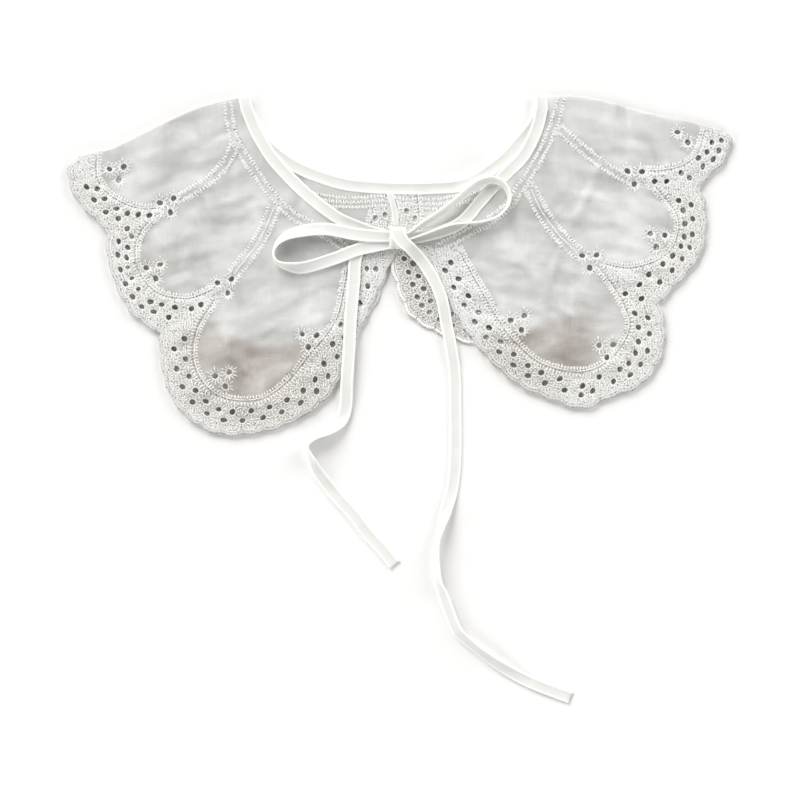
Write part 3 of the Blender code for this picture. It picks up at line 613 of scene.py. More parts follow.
# %% [markdown]
# The cloth itself is one surface for each half: the back layer, the roll over the shoulder and the
# front layer. A constrained triangulation keeps every hole true, and the Solidify modifier gives the
# wall.

# %% Cut the cloth
GRID_STEP = 2.1
# Shares of the step that the grid keeps clear of the outline and of the holes.
GRID_EDGE_CLEAR = 0.45
GRID_HOLE_CLEAR = 0.4
HOLE_SIDES = 14
HOLE_UNEVEN = 0.05
FOLD_STEPS = 8
# Where lawn lies single its tone is painted deeper, painted shade for the ground seen through it.
# The change is this wide, and on the front it starts this far in from the edge of the back layer.
SINGLE_BLUR = 8.0
SHADE_CREEP = {"left": 4.0, "right": 12.0}
# Where the painted shade is deepest: middle and reach of a patch on each side, the shares of that
# reach where it starts and ends to fade, and the painted shade's share elsewhere.
SHADE_PATCH = {"left": ((-84.0, 20.0), (50.0, 36.0)), "right": ((82.0, 34.0), (34.0, 28.0))}
SHADE_PATCH_FADE = (0.75, 1.25)
SHADE_PATCH_LEAST = 0.25
BACK_SINGLE_TOP = 100.0
# Cloth under embroidery: reach round a hole of a spray, and inset from the ends of a ladder's
# strands.
SPRAY_REACH = 3.2
WORKED_INSET = 0.4


def hole_loop(row):
    """Edge points of one eyelet, a little uneven."""
    x, y, long_half, short_half, turn, _ = row
    angle = np.arange(HOLE_SIDES) * math.tau / HOLE_SIDES
    uneven = 1.0 + HOLE_UNEVEN * np.sin(3 * angle + x)
    return points_round(x, y, long_half * np.cos(angle) * uneven,
                        short_half * np.sin(angle) * uneven, turn)


def triangulate(layer):
    """Flat points and triangles of a layer, with its outline's points first."""
    outline = OUTLINES[layer][0]
    loops = [outline] + [hole_loop(row) for row in EYELETS[layer]] + PIN_HOLES[layer]
    label = np.concatenate([np.full(len(loop), index) for index, loop in enumerate(loops)])
    low = outline.min(axis=0)
    columns, rows = ((outline.max(axis=0) - low) / GRID_STEP).astype(int) + 2
    # Rows of a triangular grid lie closer than its columns, so there are more of them.
    column, row = np.meshgrid(np.arange(columns), np.arange(int(rows * 1.2)))
    grid = low + GRID_STEP * np.column_stack([(column + 0.5 * (row % 2)).ravel(),
                                              (row * math.sqrt(0.75)).ravel()])
    grid = grid[inside(grid, outline)]
    grid = grid[line_distance(grid, closed(outline)) > GRID_STEP * GRID_EDGE_CLEAR]
    for part in loops[1:]:
        reach = np.linalg.norm(part - part.mean(axis=0), axis=1).max() + GRID_STEP
        near = np.linalg.norm(grid - part.mean(axis=0), axis=1) < reach
        close = np.zeros(len(grid), bool)
        close[near] = line_distance(grid[near], closed(part)) < GRID_STEP * GRID_HOLE_CLEAR
        close[near] |= inside(grid[near], part)
        grid = grid[~close]
    points = np.vstack(loops + [grid])
    label = np.concatenate([label, np.full(len(grid), -1)])
    edges = []
    first = 0
    for loop in loops:
        edges += [(first + index, first + (index + 1) % len(loop)) for index in range(len(loop))]
        first += len(loop)
    found, _, faces, origin, _, _ = delaunay_2d_cdt([Vector(p) for p in points], edges, [], 0, 1e-6)
    found = np.array([tuple(p) for p in found])
    kind = np.array([label[source[0]] for source in origin])
    faces = np.array(faces)
    same = (kind[faces] == kind[faces][:, :1]).all(axis=1)
    in_hole = same & (kind[faces][:, 0] > 0)
    outside = np.zeros(len(faces), bool)
    rim_faces = same & (kind[faces][:, 0] == 0)
    outside[rim_faces] = ~inside(found[faces[rim_faces]].mean(axis=1), outline)
    print(layer, "points:", len(found), "triangles:", int((~(in_hole | outside)).sum()),
          "holes:", len(loops) - 1)
    return found, faces[~(in_hole | outside)]


def plain_field(layer):
    """Closed outline of the part of a layer that has no border embroidery."""
    outline, fold_count, _ = OUTLINES[layer]
    lines = [line for name, line in LINES[layer].items() if name.startswith("rim")]
    fold = outline[:fold_count]
    nearest = np.linalg.norm(fold - lines[0][0], axis=1).argmin()
    return np.vstack([fold[:nearest + 1]] + lines + [neck_edge(layer)])


def single_shade_share(layer, points):
    """How far each point lies outside all the cloth of the other layer, from 0 to 1, weighted on the
    front by a patch of painted shade.
    """
    other = "front" if layer.startswith("back") else "back"
    middle, reach = SHADE_PATCH[layer.split("_")[1]]
    away = np.linalg.norm((points - middle) / np.array(reach), axis=1)
    shade_patch = smooth_share((SHADE_PATCH_FADE[1] - away) / (SHADE_PATCH_FADE[1] - SHADE_PATCH_FADE[0]))
    share = np.ones(len(points))
    for side in ("left", "right"):
        loop, _, rim = OUTLINES[other + "_" + side]
        beyond = np.where(inside(points, loop), -1.0, 1.0) * line_distance(points, rim)
        if layer.startswith("front"):
            beyond += SHADE_CREEP[side] * shade_patch
        share = np.minimum(share, smooth_share(0.5 + beyond / SINGLE_BLUR))
    if layer.startswith("back"):
        return share * smooth_share((BACK_SINGLE_TOP - points[:, 1]) / SINGLE_BLUR)
    return share * (SHADE_PATCH_LEAST + (1.0 - SHADE_PATCH_LEAST) * shade_patch)


def worked_faces(layer, points, triangles):
    """Which triangles lie under embroidery: in the border, on a ladder or round a spray."""
    middles = points[triangles].mean(axis=1)
    worked = ~inside(middles, plain_field(layer)) & inside(middles, OUTLINES[layer][0])
    for name, line in LINES[layer].items():
        offset, length = LADDER_ROWS[ladder_kind(name)][-1]
        near = line_distance(middles, line)
        if name.startswith("rim"):
            worked |= near < offset + length / 2 - WORKED_INSET
        else:
            worked |= np.abs(near - offset) < length / 2 - WORKED_INSET
    sprays = EYELETS[layer][EYELETS[layer][:, 5] > 0, :2]
    if len(sprays):
        worked |= np.linalg.norm(middles[:, None] - sprays, axis=2).min(axis=1) < SPRAY_REACH
    return worked


def mesh_object(name, points, faces, material):
    """A new smooth mesh object from points in millimetres."""
    mesh = bpy.data.meshes.new(name)
    mesh.from_pydata([tuple(p) for p in np.asarray(points) * MM], [], [tuple(f) for f in faces])
    mesh.validate()
    mesh.shade_smooth()
    mesh.materials.append(material)
    thing = bpy.data.objects.new(name, mesh)
    bpy.context.scene.collection.objects.link(thing)
    return thing


def apply_modifiers(thing):
    """The same object, with its live modifiers turned into plain mesh."""
    graph = bpy.context.evaluated_depsgraph_get()
    mesh = bpy.data.meshes.new_from_object(thing.evaluated_get(graph))
    thing.modifiers.clear()
    old = thing.data
    thing.data = mesh
    bpy.data.meshes.remove(old)
    mesh.name = thing.name
    return thing


def make_panel(side, material, ground):
    """One half of the collar: its back layer, the shoulder roll and its front layer."""
    points = []
    faces = []
    single_shade = []
    worked = []
    first = 0
    for layer in ("back_" + side, "front_" + side):
        flat, triangles = triangulate(layer)
        points.append(np.column_stack([flat, layer_height(layer, flat)]))
        single_shade.append(single_shade_share(layer, flat))
        worked.append(worked_faces(layer, flat, triangles))
        order = [0, 1, 2] if layer.startswith("front") else [2, 1, 0]
        faces += (triangles[:, order] + first).tolist()
        first += len(flat)
    outline, fold_count, _ = OUTLINES["front_" + side]
    chain = outline[:fold_count]
    outward = side_step(chain, 1.0 if side == "right" else -1.0) - chain
    rings = [np.arange(fold_count)]
    for step in range(1, FOLD_STEPS):
        angle = math.pi * step / FOLD_STEPS
        level = np.full(fold_count, BACK_MIDDLE + FOLD_RADIUS * (1.0 - math.cos(angle)))
        points.append(np.column_stack([chain + outward * FOLD_RADIUS * math.sin(angle), level]))
        rings.append(first + np.arange(fold_count))
        first += fold_count
    rings.append(len(points[0]) + np.arange(fold_count))
    for lower, upper in zip(rings, rings[1:]):
        for index in range(fold_count - 1):
            quad = [lower[index], lower[index + 1], upper[index + 1], upper[index]]
            faces.append(quad if side == "left" else quad[::-1])
    panel = mesh_object(side + "_lawn", np.vstack(points), faces, material)
    panel.data.materials.append(ground)
    worked = np.concatenate(worked + [np.zeros(len(faces) - sum(map(len, worked)), bool)])
    # Triangles under embroidery take the worked lawn, with its painted shade.
    panel.data.polygons.foreach_set("material_index", worked.astype(np.int32))
    # These shares drive the painted shade of the lawn where it lies single.
    shares = np.zeros(first)
    shares[:sum(map(len, single_shade))] = np.concatenate(single_shade)
    panel.data.attributes.new("single_shade", "FLOAT", "POINT").data.foreach_set("value", shares)
    wall = panel.modifiers.new("wall", "SOLIDIFY")
    wall.thickness = CLOTH_WALL * MM
    wall.offset = 0.0
    return apply_modifiers(panel)


# %% [markdown]
# Materials. Each starts from the real stuff. Lawn is a fine, slightly sheer plain weave, so light
# passes through it and the layer below shows. Its threads are about 0.25 mm apart, too fine for the
# picture, so only its slubs are drawn, as long faint streaks along both thread directions. Where it
# lies single its tone is painted deeper, painted shade for the dark ground seen through it, and its
# soft clouds of tone are partly uneven weave and partly painted light and shade.

# %% Helpers for materials
def from_hex(text):
    """A linear colour from an sRGB hex value."""
    channels = [int(text[index:index + 2], 16) / 255 for index in (0, 2, 4)]
    return (*(c / 12.92 if c <= 0.04045 else ((c + 0.055) / 1.055) ** 2.4 for c in channels), 1.0)


def add_node(tree, kind, inputs=(), **settings):
    """Add a node with its settings; an input is given a value, or a socket to link from."""
    node = tree.nodes.new(kind)
    for name, value in settings.items():
        setattr(node, name, value)
    for name, value in dict(inputs).items():
        if isinstance(value, bpy.types.NodeSocket):
            tree.links.new(value, node.inputs[name])
        else:
            node.inputs[name].default_value = value
    return node


def add_math(tree, operation, first, second):
    """Result of a sum on two values or sockets."""
    return add_node(tree, "ShaderNodeMath", {0: first, 1: second}, operation=operation).outputs[0]


def blend(tree, share, first, second):
    """Mix of two colours, each a socket or an sRGB hex value."""
    colours = [from_hex(c) if isinstance(c, str) else c for c in (first, second)]
    return add_node(tree, "ShaderNodeMix", {"Factor": share, 6: colours[0], 7: colours[1]},
                    data_type="RGBA").outputs[2]


def own_place(tree):
    """Place of a point in its object, so that a texture is sized in metres."""
    return add_node(tree, "ShaderNodeTexCoord").outputs["Object"]


def point_value(tree, name):
    """Value that each point of the mesh holds under a name."""
    return add_node(tree, "ShaderNodeAttribute", attribute_name=name).outputs["Fac"]


def finish_shader(tree, shader, colour, height=None, strength=0.0, depth=0.0):
    """Set the shader's colour and, where a height is given, its relief; the depth is in mm."""
    tree.links.new(colour, shader.inputs["Base Color"])
    if height is not None:
        relief = add_node(tree, "ShaderNodeBump", {"Height": height, "Strength": strength,
                                                   "Distance": depth * MM})
        tree.links.new(relief.outputs["Normal"], shader.inputs["Normal"])


def new_material(name, **values):
    """A material with its Principled shader's plain values set; returns it, its tree and shader."""
    material = bpy.data.materials.new(name)
    material.use_nodes = True
    shader = material.node_tree.nodes["Principled BSDF"]
    for socket, value in values.items():
        shader.inputs[socket.replace("_", " ")].default_value = value
    return material, material.node_tree, shader


# %% Cotton lawn
SLUB_WIDTH = 0.9
SLUB_LENGTH = 14.0
# The soft clouds in the lawn's tone are partly uneven weave and partly painted light and shade.
CLOUD_SIZE = 24.0
CLOUD_START = (0.43, 0.21, 0.0)
# Weight of the clouds and of the slubs in the tone, and the values that give its two ends.
CLOUD_WEIGHT = 4.0
SLUB_WEIGHT = 0.5
TONE_ENDS = (1.6, 3.4)


def slub_streaks(tree, place):
    """Faint streaks along both thread directions, as one value round 1."""
    streaks = []
    for scale in ((1 / SLUB_LENGTH, 1 / SLUB_WIDTH, 1.0), (1 / SLUB_WIDTH, 1 / SLUB_LENGTH, 1.0)):
        stretch = add_node(tree, "ShaderNodeMapping",
                           {"Vector": place, "Scale": tuple(s / MM for s in scale)})
        streaks.append(add_node(tree, "ShaderNodeTexNoise",
                                {"Vector": stretch.outputs["Vector"], "Scale": 1.0, "Detail": 2.0}))
    return add_math(tree, "ADD", *(streak.outputs["Fac"] for streak in streaks))


def cotton_lawn():
    """Sheer plain-woven cotton: matt, a little see-through, with painted shade where it lies single.
    """
    material, tree, shader = new_material("cotton_lawn", Roughness=0.9, Alpha=0.53,
                                          Sheen_Weight=0.15, Sheen_Roughness=0.5)
    place = own_place(tree)
    slubs = slub_streaks(tree, place)
    # Clouds of tone: partly uneven weave, partly painted light and shade.
    shifted = add_node(tree, "ShaderNodeMapping", {"Vector": place, "Location": CLOUD_START})
    cloud = add_node(tree, "ShaderNodeTexNoise", {"Vector": shifted.outputs["Vector"],
                                                  "Scale": 1 / (CLOUD_SIZE * MM), "Detail": 3.0,
                                                  "Distortion": 0.6})
    both = add_math(tree, "ADD", add_math(tree, "MULTIPLY", cloud.outputs["Fac"], CLOUD_WEIGHT),
                    add_math(tree, "MULTIPLY", slubs, SLUB_WEIGHT))
    tone = add_node(tree, "ShaderNodeMapRange", {"Value": both, "From Min": TONE_ENDS[0],
                                                 "From Max": TONE_ENDS[1]}).outputs["Result"]
    double = blend(tree, tone, "D4D3CF", "FFFFFE")
    # Painted shade: the lawn is darker where it lies single, for the ground seen through it.
    single_shade = blend(tree, tone, "A89E97", "E6E2DC")
    finish_shader(tree, shader, blend(tree, point_value(tree, "single_shade"), double, single_shade),
                  slubs, 0.25, 0.12)
    return material


# %% Ground of the embroidery
NEEDLE_SPACING = 1.5
# Shares of the spacing where a needle's prick, a dot of painted shade, starts and ends to lighten.
PRICK_SHADE_ENDS = (0.08, 0.4)


def worked_lawn():
    """Lawn under dense stitches: drawn tight, pierced by the needle, not see-through; its grey
    ground and dark pricks are painted shade.
    """
    material, tree, shader = new_material("worked_lawn", Roughness=0.9)
    shaded_pricks = add_node(tree, "ShaderNodeTexVoronoi", {"Vector": own_place(tree),
                                                     "Scale": 1 / (NEEDLE_SPACING * MM)})
    shade = add_node(tree, "ShaderNodeMapRange", {"Value": shaded_pricks.outputs["Distance"],
                                                  "From Min": PRICK_SHADE_ENDS[0],
                                                  "From Max": PRICK_SHADE_ENDS[1]}).outputs["Result"]
    # Painted shade: the ground under the stitches is a darker grey, deeper still where it lies
    # single.
    ground = blend(tree, point_value(tree, "single_shade"), "DADAD7", "C3BEB8")
    # The dark dots at the pricks are painted shade between the stitches.
    finish_shader(tree, shader, blend(tree, shade, "68645D", ground), shade, 0.6, 0.3)
    return material


# %% Embroidery thread
TWIST_LENGTH = 1.2


def embroidery_thread():
    """Mercerised cotton thread: whiter than the lawn, with a soft shine from its twist."""
    material, tree, shader = new_material("embroidery_thread", Roughness=0.5)
    twist = add_node(tree, "ShaderNodeTexNoise", {"Vector": own_place(tree),
                                                  "Scale": 1 / (TWIST_LENGTH * MM), "Detail": 2.0})
    finish_shader(tree, shader, blend(tree, twist.outputs["Fac"], "F1F0EB", "FFFFFD"))
    return material


# %% Folded cotton tape
TAPE_THREAD = 0.7
TAPE_CLOUD = 9.0
# A wave texture of scale 1 repeats over this length.
WAVE_UNIT = 0.314


def cotton_tape():
    """Bias-cut cotton tape, folded and pressed: opaque, white, with a fine diagonal weave and a
    painted highlight on its rolled edges.
    """
    material, tree, shader = new_material("cotton_tape", Roughness=0.8, Sheen_Weight=0.2,
                                          Sheen_Roughness=0.4)
    place = own_place(tree)
    weave = []
    for turn in (math.radians(45), math.radians(-45)):
        slanted = add_node(tree, "ShaderNodeMapping", {"Vector": place, "Rotation": (0, 0, turn)})
        weave.append(add_node(tree, "ShaderNodeTexWave",
                              {"Vector": slanted.outputs["Vector"], "Distortion": 1.5,
                               "Scale": WAVE_UNIT / (TAPE_THREAD * MM), "Detail": 1.0}))
    cross = add_math(tree, "MULTIPLY", *(threads.outputs["Fac"] for threads in weave))
    cloud = add_node(tree, "ShaderNodeTexNoise", {"Vector": place, "Scale": 1 / (TAPE_CLOUD * MM),
                                                  "Detail": 3.0})
    cloth = blend(tree, cloud.outputs["Fac"], "DEDED7", "EDEDE9")
    # Painted highlight: the rolled edges are lighter than the middle of the tape.
    finish_shader(tree, shader, blend(tree, point_value(tree, "edge"), cloth, "FDFDFB"),
                  cross, 0.25, 0.1)
    return material


LAWN = cotton_lawn()
WORKED_LAWN = worked_lawn()
THREAD = embroidery_thread()
TAPE = cotton_tape()

# %% Make both halves
PANELS = {side: make_panel(side, LAWN, WORKED_LAWN) for side in ("left", "right")}
for panel in PANELS.values():
    print(panel.name, "faces:", len(panel.data.polygons))

# %% [markdown]
# Stitches. The real border holds tens of thousands of them, each a short raised strand of thread.
# Geometry Nodes put one small ellipsoid on each point of a mesh, turned and sized by the point's own
# attributes. The points come from the curves above, because the stitches follow them.

# %% A node tree that turns points into stitches
def stitch_tree():
    """Geometry Nodes: an ellipsoid on each point, sized and turned by attributes."""
    tree = bpy.data.node_groups.new("raised_stitches", "GeometryNodeTree")
    tree.interface.new_socket("Points", in_out="INPUT", socket_type="NodeSocketGeometry")
    for name, kind, value in (("Stitch length", "NodeSocketFloat", 1.0),
                              ("Thread thickness", "NodeSocketFloat", 1.0),
                              ("Turn spread", "NodeSocketFloat", 0.0),
                              ("Size spread", "NodeSocketFloat", 0.0),
                              ("Roundness", "NodeSocketInt", 1), ("Seed", "NodeSocketInt", 0)):
        tree.interface.new_socket(name, in_out="INPUT", socket_type=kind).default_value = value
    tree.interface.new_socket("Thread", in_out="INPUT", socket_type="NodeSocketMaterial")
    tree.interface.new_socket("Stitches", in_out="OUTPUT", socket_type="NodeSocketGeometry")
    given = add_node(tree, "NodeGroupInput").outputs
    strand = add_node(tree, "GeometryNodeMeshIcoSphere", {"Radius": 0.5,
                                                          "Subdivisions": given["Roundness"]})
    size = add_node(tree, "GeometryNodeInputNamedAttribute", {"Name": "size"},
                    data_type="FLOAT_VECTOR")
    turn = add_node(tree, "GeometryNodeInputNamedAttribute", {"Name": "turn"},
                    data_type="FLOAT_VECTOR")
    minus = add_math(tree, "MULTIPLY", given["Turn spread"], -1.0)
    sway = add_node(tree, "FunctionNodeRandomValue", {2: minus, 3: given["Turn spread"],
                                                      "Seed": given["Seed"]}, data_type="FLOAT")
    sway_turn = add_node(tree, "ShaderNodeCombineXYZ", {"Z": sway.outputs[1]})
    swayed = add_node(tree, "ShaderNodeVectorMath", {0: turn.outputs[0], 1: sway_turn.outputs[0]},
                      operation="ADD")
    least = add_math(tree, "SUBTRACT", 1.0, given["Size spread"])
    most = add_math(tree, "ADD", 1.0, given["Size spread"])
    grow = add_node(tree, "FunctionNodeRandomValue", {2: least, 3: most, "Seed": given["Seed"]},
                    data_type="FLOAT")
    stretch = add_math(tree, "MULTIPLY", grow.outputs[1], given["Stitch length"])
    scales = add_node(tree, "ShaderNodeCombineXYZ", {"X": stretch,
                                                     "Y": given["Thread thickness"],
                                                     "Z": given["Thread thickness"]})
    sized = add_node(tree, "ShaderNodeVectorMath", {0: size.outputs[0], 1: scales.outputs[0]},
                     operation="MULTIPLY")
    placed = add_node(tree, "GeometryNodeInstanceOnPoints",
                      {"Points": given["Points"], "Instance": strand.outputs["Mesh"],
                       "Rotation": swayed.outputs[0], "Scale": sized.outputs[0]})
    real = add_node(tree, "GeometryNodeRealizeInstances", {"Geometry": placed.outputs[0]})
    smooth = add_node(tree, "GeometryNodeSetShadeSmooth", {"Geometry": real.outputs[0]})
    coloured = add_node(tree, "GeometryNodeSetMaterial", {"Geometry": smooth.outputs[0],
                                                          "Material": given["Thread"]})
    add_node(tree, "NodeGroupOutput", {"Stitches": coloured.outputs[0]})
    return tree


STITCH_TREE = stitch_tree()
STITCH_SOCKETS = {item.name: item.identifier for item in STITCH_TREE.interface.items_tree
                  if item.in_out == "INPUT"}


# Columns of a stitch's row: its place is 0 to 2, its turn 3 to 5 and its size 6 to 8.
LEVEL, HEADING, LENGTH, HEIGHT = 2, 5, 6, 8


def sew(name, stitches, turn_spread=0.12, size_spread=0.12, seed=3):
    """One mesh of stitches from rows of place, turn and size, in millimetres and radians."""
    rows = np.vstack(stitches)
    mesh = bpy.data.meshes.new(name)
    mesh.from_pydata([tuple(p) for p in rows[:, :3] * MM], [], [])
    for attribute, values in (("turn", rows[:, 3:6]), ("size", rows[:, 6:9] * MM)):
        layer = mesh.attributes.new(attribute, "FLOAT_VECTOR", "POINT")
        layer.data.foreach_set("vector", values.astype(np.float32).ravel())
    piece = bpy.data.objects.new(name, mesh)
    bpy.context.scene.collection.objects.link(piece)
    maker = piece.modifiers.new("stitches", "NODES")
    maker.node_group = STITCH_TREE
    for socket, value in (("Turn spread", turn_spread), ("Size spread", size_spread),
                          ("Seed", seed), ("Stitch length", 1.0), ("Thread thickness", 1.0),
                          ("Roundness", 1), ("Thread", THREAD)):
        maker[STITCH_SOCKETS[socket]] = value
    apply_modifiers(piece)
    print(name, "stitches:", len(rows), "triangles:", len(piece.data.polygons))
    return piece


def strand_sizes(lengths, thick):
    """Sizes of strands of these lengths; thick is their width and height."""
    return np.column_stack([lengths, np.tile(thick, (len(lengths), 1))])


def flat_stitches(layer, places, turns, sizes):
    """Rows for stitches that lie in a layer of cloth; sizes are length, width and height."""
    heights = layer_height(layer, places)
    turns = np.broadcast_to(turns, len(places))
    zero = np.zeros(len(places))
    sizes = np.broadcast_to(np.asarray(sizes, float), (len(places), 3))
    return np.column_stack([places, heights, zero, zero, turns, sizes])


# %% Keep strands off the holes and above the table
HOLE_MARGIN = 0.15
# Points of a strand that are tried, as shares of its length.
STRAND_POINTS = (-0.45, 0.0, 0.45)


def clear_of_holes(layer, rows):
    """The rows whose strand, from end to end, keeps off every hole of the layer."""
    keep = np.ones(len(rows), bool)
    reach = EYELETS[layer][:, 2:4].mean(axis=1) + HOLE_MARGIN
    for share in STRAND_POINTS:
        along = (rows[:, LENGTH] * share)[:, None]
        places = rows[:, :2] + along * np.column_stack([np.cos(rows[:, HEADING]),
                                                        np.sin(rows[:, HEADING])])
        distance = np.linalg.norm(places[:, None] - EYELETS[layer][:, :2], axis=2)
        keep &= (distance > reach).all(axis=1)
    return rows[keep]


def reach_down(rows, drop):
    """Lower the bottom of each strand by twice the drop, but not into the table; tops stay."""
    rows[:, LEVEL] -= drop
    rows[:, HEIGHT] += 2 * drop
    sunk = np.maximum(0.0, rows[:, HEIGHT] / 2 - rows[:, LEVEL])
    rows[:, LEVEL] += sunk / 2
    rows[:, HEIGHT] -= sunk


# %% [markdown]
# Four kinds of stitch make the border: an overcast ring round each hole, rays that lead outwards
# from the rings, buttonhole stitches over the rim with a fine cord inside them, and a dense filling
# whose short strands point at the nearest hole. On a ladder two combs of slanted strands face each
# other.

# %% Rings and rays round the holes
RING_COUNT = 16
RING_SIZE = (1.4, 0.82, 1.5)
RING_OUT = 0.64
RING_SWAY = 0.4
# Where the front lies on the table its rings reach down to it, as the punched edge curls under.
RING_DROP = 0.42
# Over the back layer they are flatter, so light still falls in.
RING_FLAT = 0.5
RAY_COUNT = 12
RAY_SWAY = 0.15
RAY_START = 0.8
RAY_SPREAD = (0.85, 1.1)
FLOWER_RAY = (3.6, 2.3)
BORDER_RAY = (2.7, 2.1)
RAY_THICK = (0.56, 1.15)


def ring_stitches(layer):
    """Overcast stitches over the edge of every hole."""
    rows = []
    for x, y, long_half, short_half, turn, _ in EYELETS[layer]:
        angle = np.arange(RING_COUNT) * math.tau / RING_COUNT + CHANCE.uniform(0, RING_SWAY)
        places = points_round(x, y, (long_half + RING_OUT) * np.cos(angle),
                              (short_half + RING_OUT) * np.sin(angle), turn)
        heading = np.arctan2(places[:, 1] - y, places[:, 0] - x)
        ring = flat_stitches(layer, places, heading, RING_SIZE)
        if layer.startswith("front"):
            if single_shade_share(layer, np.array([[x, y]]))[0] > 0.5:
                reach_down(ring, RING_DROP)
            else:
                ring[:, HEIGHT] *= RING_FLAT
        rows.append(ring)
    return rows


def ray_stitches(layer):
    """Straight stitches that radiate from the rings, long and short in turn."""
    rows = []
    for x, y, long_half, short_half, _, flower in EYELETS[layer]:
        angle = np.arange(RAY_COUNT) * math.tau / RAY_COUNT
        angle += CHANCE.uniform(0, RAY_SWAY, RAY_COUNT)
        long_ray, short_ray = FLOWER_RAY if flower else BORDER_RAY
        length = np.where(np.arange(RAY_COUNT) % 2, long_ray, short_ray)
        length = length * CHANCE.uniform(*RAY_SPREAD, RAY_COUNT)
        radius = (long_half + short_half) / 2 + RAY_START + length / 2
        places = np.column_stack([x + radius * np.cos(angle), y + radius * np.sin(angle)])
        rays = flat_stitches(layer, places, angle, strand_sizes(length, RAY_THICK))
        rows.append(clear_of_holes(layer, rays[inside(places, OUTLINES[layer][0])]))
    return rows


# %% Stitches over the rim
RIM_SPACING = 0.95
RIM_SIZE = (2.7, 1.05, 0.95)
RIM_INSET = 1.15
RIM_CORD_SPACING = 1.5
RIM_CORD_SIZE = (1.9, 0.6, 0.9)
RIM_CORD_INSET = 2.9
# The edge of the front layer hangs down to the table.
RIM_DROP = 0.54


def rim_stitches(layer):
    """Buttonhole stitches square to the scalloped rim, and a cord of stitches along it."""
    rim = OUTLINES[layer][2]
    total = path_run(rim)[-1]
    places, heading = walk(rim, np.arange(0, total, RIM_SPACING))
    inward = -rim_side(layer) * left_of(heading)
    edge = flat_stitches(layer, places + inward * RIM_INSET, heading + math.pi / 2, RIM_SIZE)
    if layer.startswith("front"):
        reach_down(edge, RIM_DROP)
    places, heading = walk(rim, np.arange(0, total, RIM_CORD_SPACING))
    inward = -rim_side(layer) * left_of(heading)
    return [edge, flat_stitches(layer, places + inward * RIM_CORD_INSET, heading, RIM_CORD_SIZE)]


# %% Filling of the border
FILL_STEP = 1.45
# How far a strand lies off its even place, and its spread in heading and in length.
FILL_SHIFT = 0.42
FILL_SWAY = 0.25
FILL_SPREAD = (0.6, 1.15)
FILL_LENGTH = 2.3
FILL_THICK = (0.66, 1.15)
# How far the filling keeps from holes, from the rim, from the ladders and from each neck edge.
FILL_CLEAR = 4.2
RIM_CLEAR = 3.3
LADDER_CLEAR = 3.2
NECK_CLEAR = {"front": 3.5, "back": 11.0}


def fill_stitches(layer):
    """Short strands between holes, ladder and rim, each pointing at the nearest hole."""
    outline, _, rim = OUTLINES[layer]
    low, high = outline.min(axis=0), outline.max(axis=0)
    column, row = np.meshgrid(np.arange(low[0], high[0], FILL_STEP),
                              np.arange(low[1], high[1], FILL_STEP))
    places = np.column_stack([column.ravel(), row.ravel()])
    places += CHANCE.uniform(-FILL_SHIFT, FILL_SHIFT, places.shape)
    places = places[inside(places, outline)]
    places = places[~inside(places, plain_field(layer))]
    places = places[line_distance(places, rim) > RIM_CLEAR]
    clear = NECK_CLEAR[layer.split("_")[0]]
    places = places[line_distance(places, neck_edge(layer)) > clear]
    for name, line in LINES[layer].items():
        if name.startswith("rim"):
            places = places[line_distance(places, line) > LADDER_CLEAR]
    offset = places[:, None] - EYELETS[layer][:, :2]
    distance = np.linalg.norm(offset, axis=2)
    nearest = distance.argmin(axis=1)
    near = distance[np.arange(len(places)), nearest]
    offset = offset[np.arange(len(places)), nearest]
    heading = np.arctan2(offset[:, 1], offset[:, 0]) + CHANCE.normal(0, FILL_SWAY, len(places))
    sizes = strand_sizes(FILL_LENGTH * CHANCE.uniform(*FILL_SPREAD, len(places)), FILL_THICK)
    keep = near > FILL_CLEAR
    return [flat_stitches(layer, places[keep], heading[keep], sizes[keep])]


# %% Ladder stitches
TOOTH_START = 0.4
TOOTH_SPACING = 1.95
TOOTH_LEAN = 0.18
TOOTH_SPREAD = (0.92, 1.08)
TOOTH_THICK = (0.8, 1.25)
CORD_START = 0.5
CORD_STITCH = (2.1, 0.75, 1.1)
CORD_SPACING = 1.5
# The neck ladder of the back has crossed bars: place in each cell and lean in radians.
CELL_START = 2.0
CELL_SPACING = 4.3
CELL_BARS = [(-0.75, 0.5), (0.75, -0.5), (1.9, 0.0)]
CELL_STITCH = (3.4, 0.7, 1.0)


def ladder_stitches(layer):
    """Combs of strands along both sides of each ladder, with its cord or its crossed bars."""
    rows = []
    for name, path in LINES[layer].items():
        total = path_run(path)[-1]
        kind = ladder_kind(name)
        side = -rim_side(layer) if name.startswith("rim") else 1.0
        for index, (offset, length) in enumerate(LADDER_ROWS[kind]):
            places, heading = walk(path, np.arange(TOOTH_START * (1 + index), total, TOOTH_SPACING))
            lean = np.where(np.arange(len(places)) % 2, TOOTH_LEAN, -TOOTH_LEAN)
            sizes = strand_sizes(length * CHANCE.uniform(*TOOTH_SPREAD, len(places)), TOOTH_THICK)
            comb = flat_stitches(layer, places - left_of(heading) * offset * side,
                                 heading + math.pi / 2 + lean, sizes)
            rows.append(clear_of_holes(layer, comb))
        if kind in LADDER_CORDS:
            places, heading = walk(path, np.arange(CORD_START, total, CORD_SPACING))
            cord = flat_stitches(layer, places - left_of(heading) * LADDER_CORDS[kind] * side,
                                 heading, CORD_STITCH)
            rows.append(clear_of_holes(layer, cord))
        if kind == "neck_back":
            for start, lean in CELL_BARS:
                places, heading = walk(path, np.arange(CELL_START + start, total, CELL_SPACING))
                rows.append(flat_stitches(layer, places, heading + math.pi / 2 + lean, CELL_STITCH))
    return rows


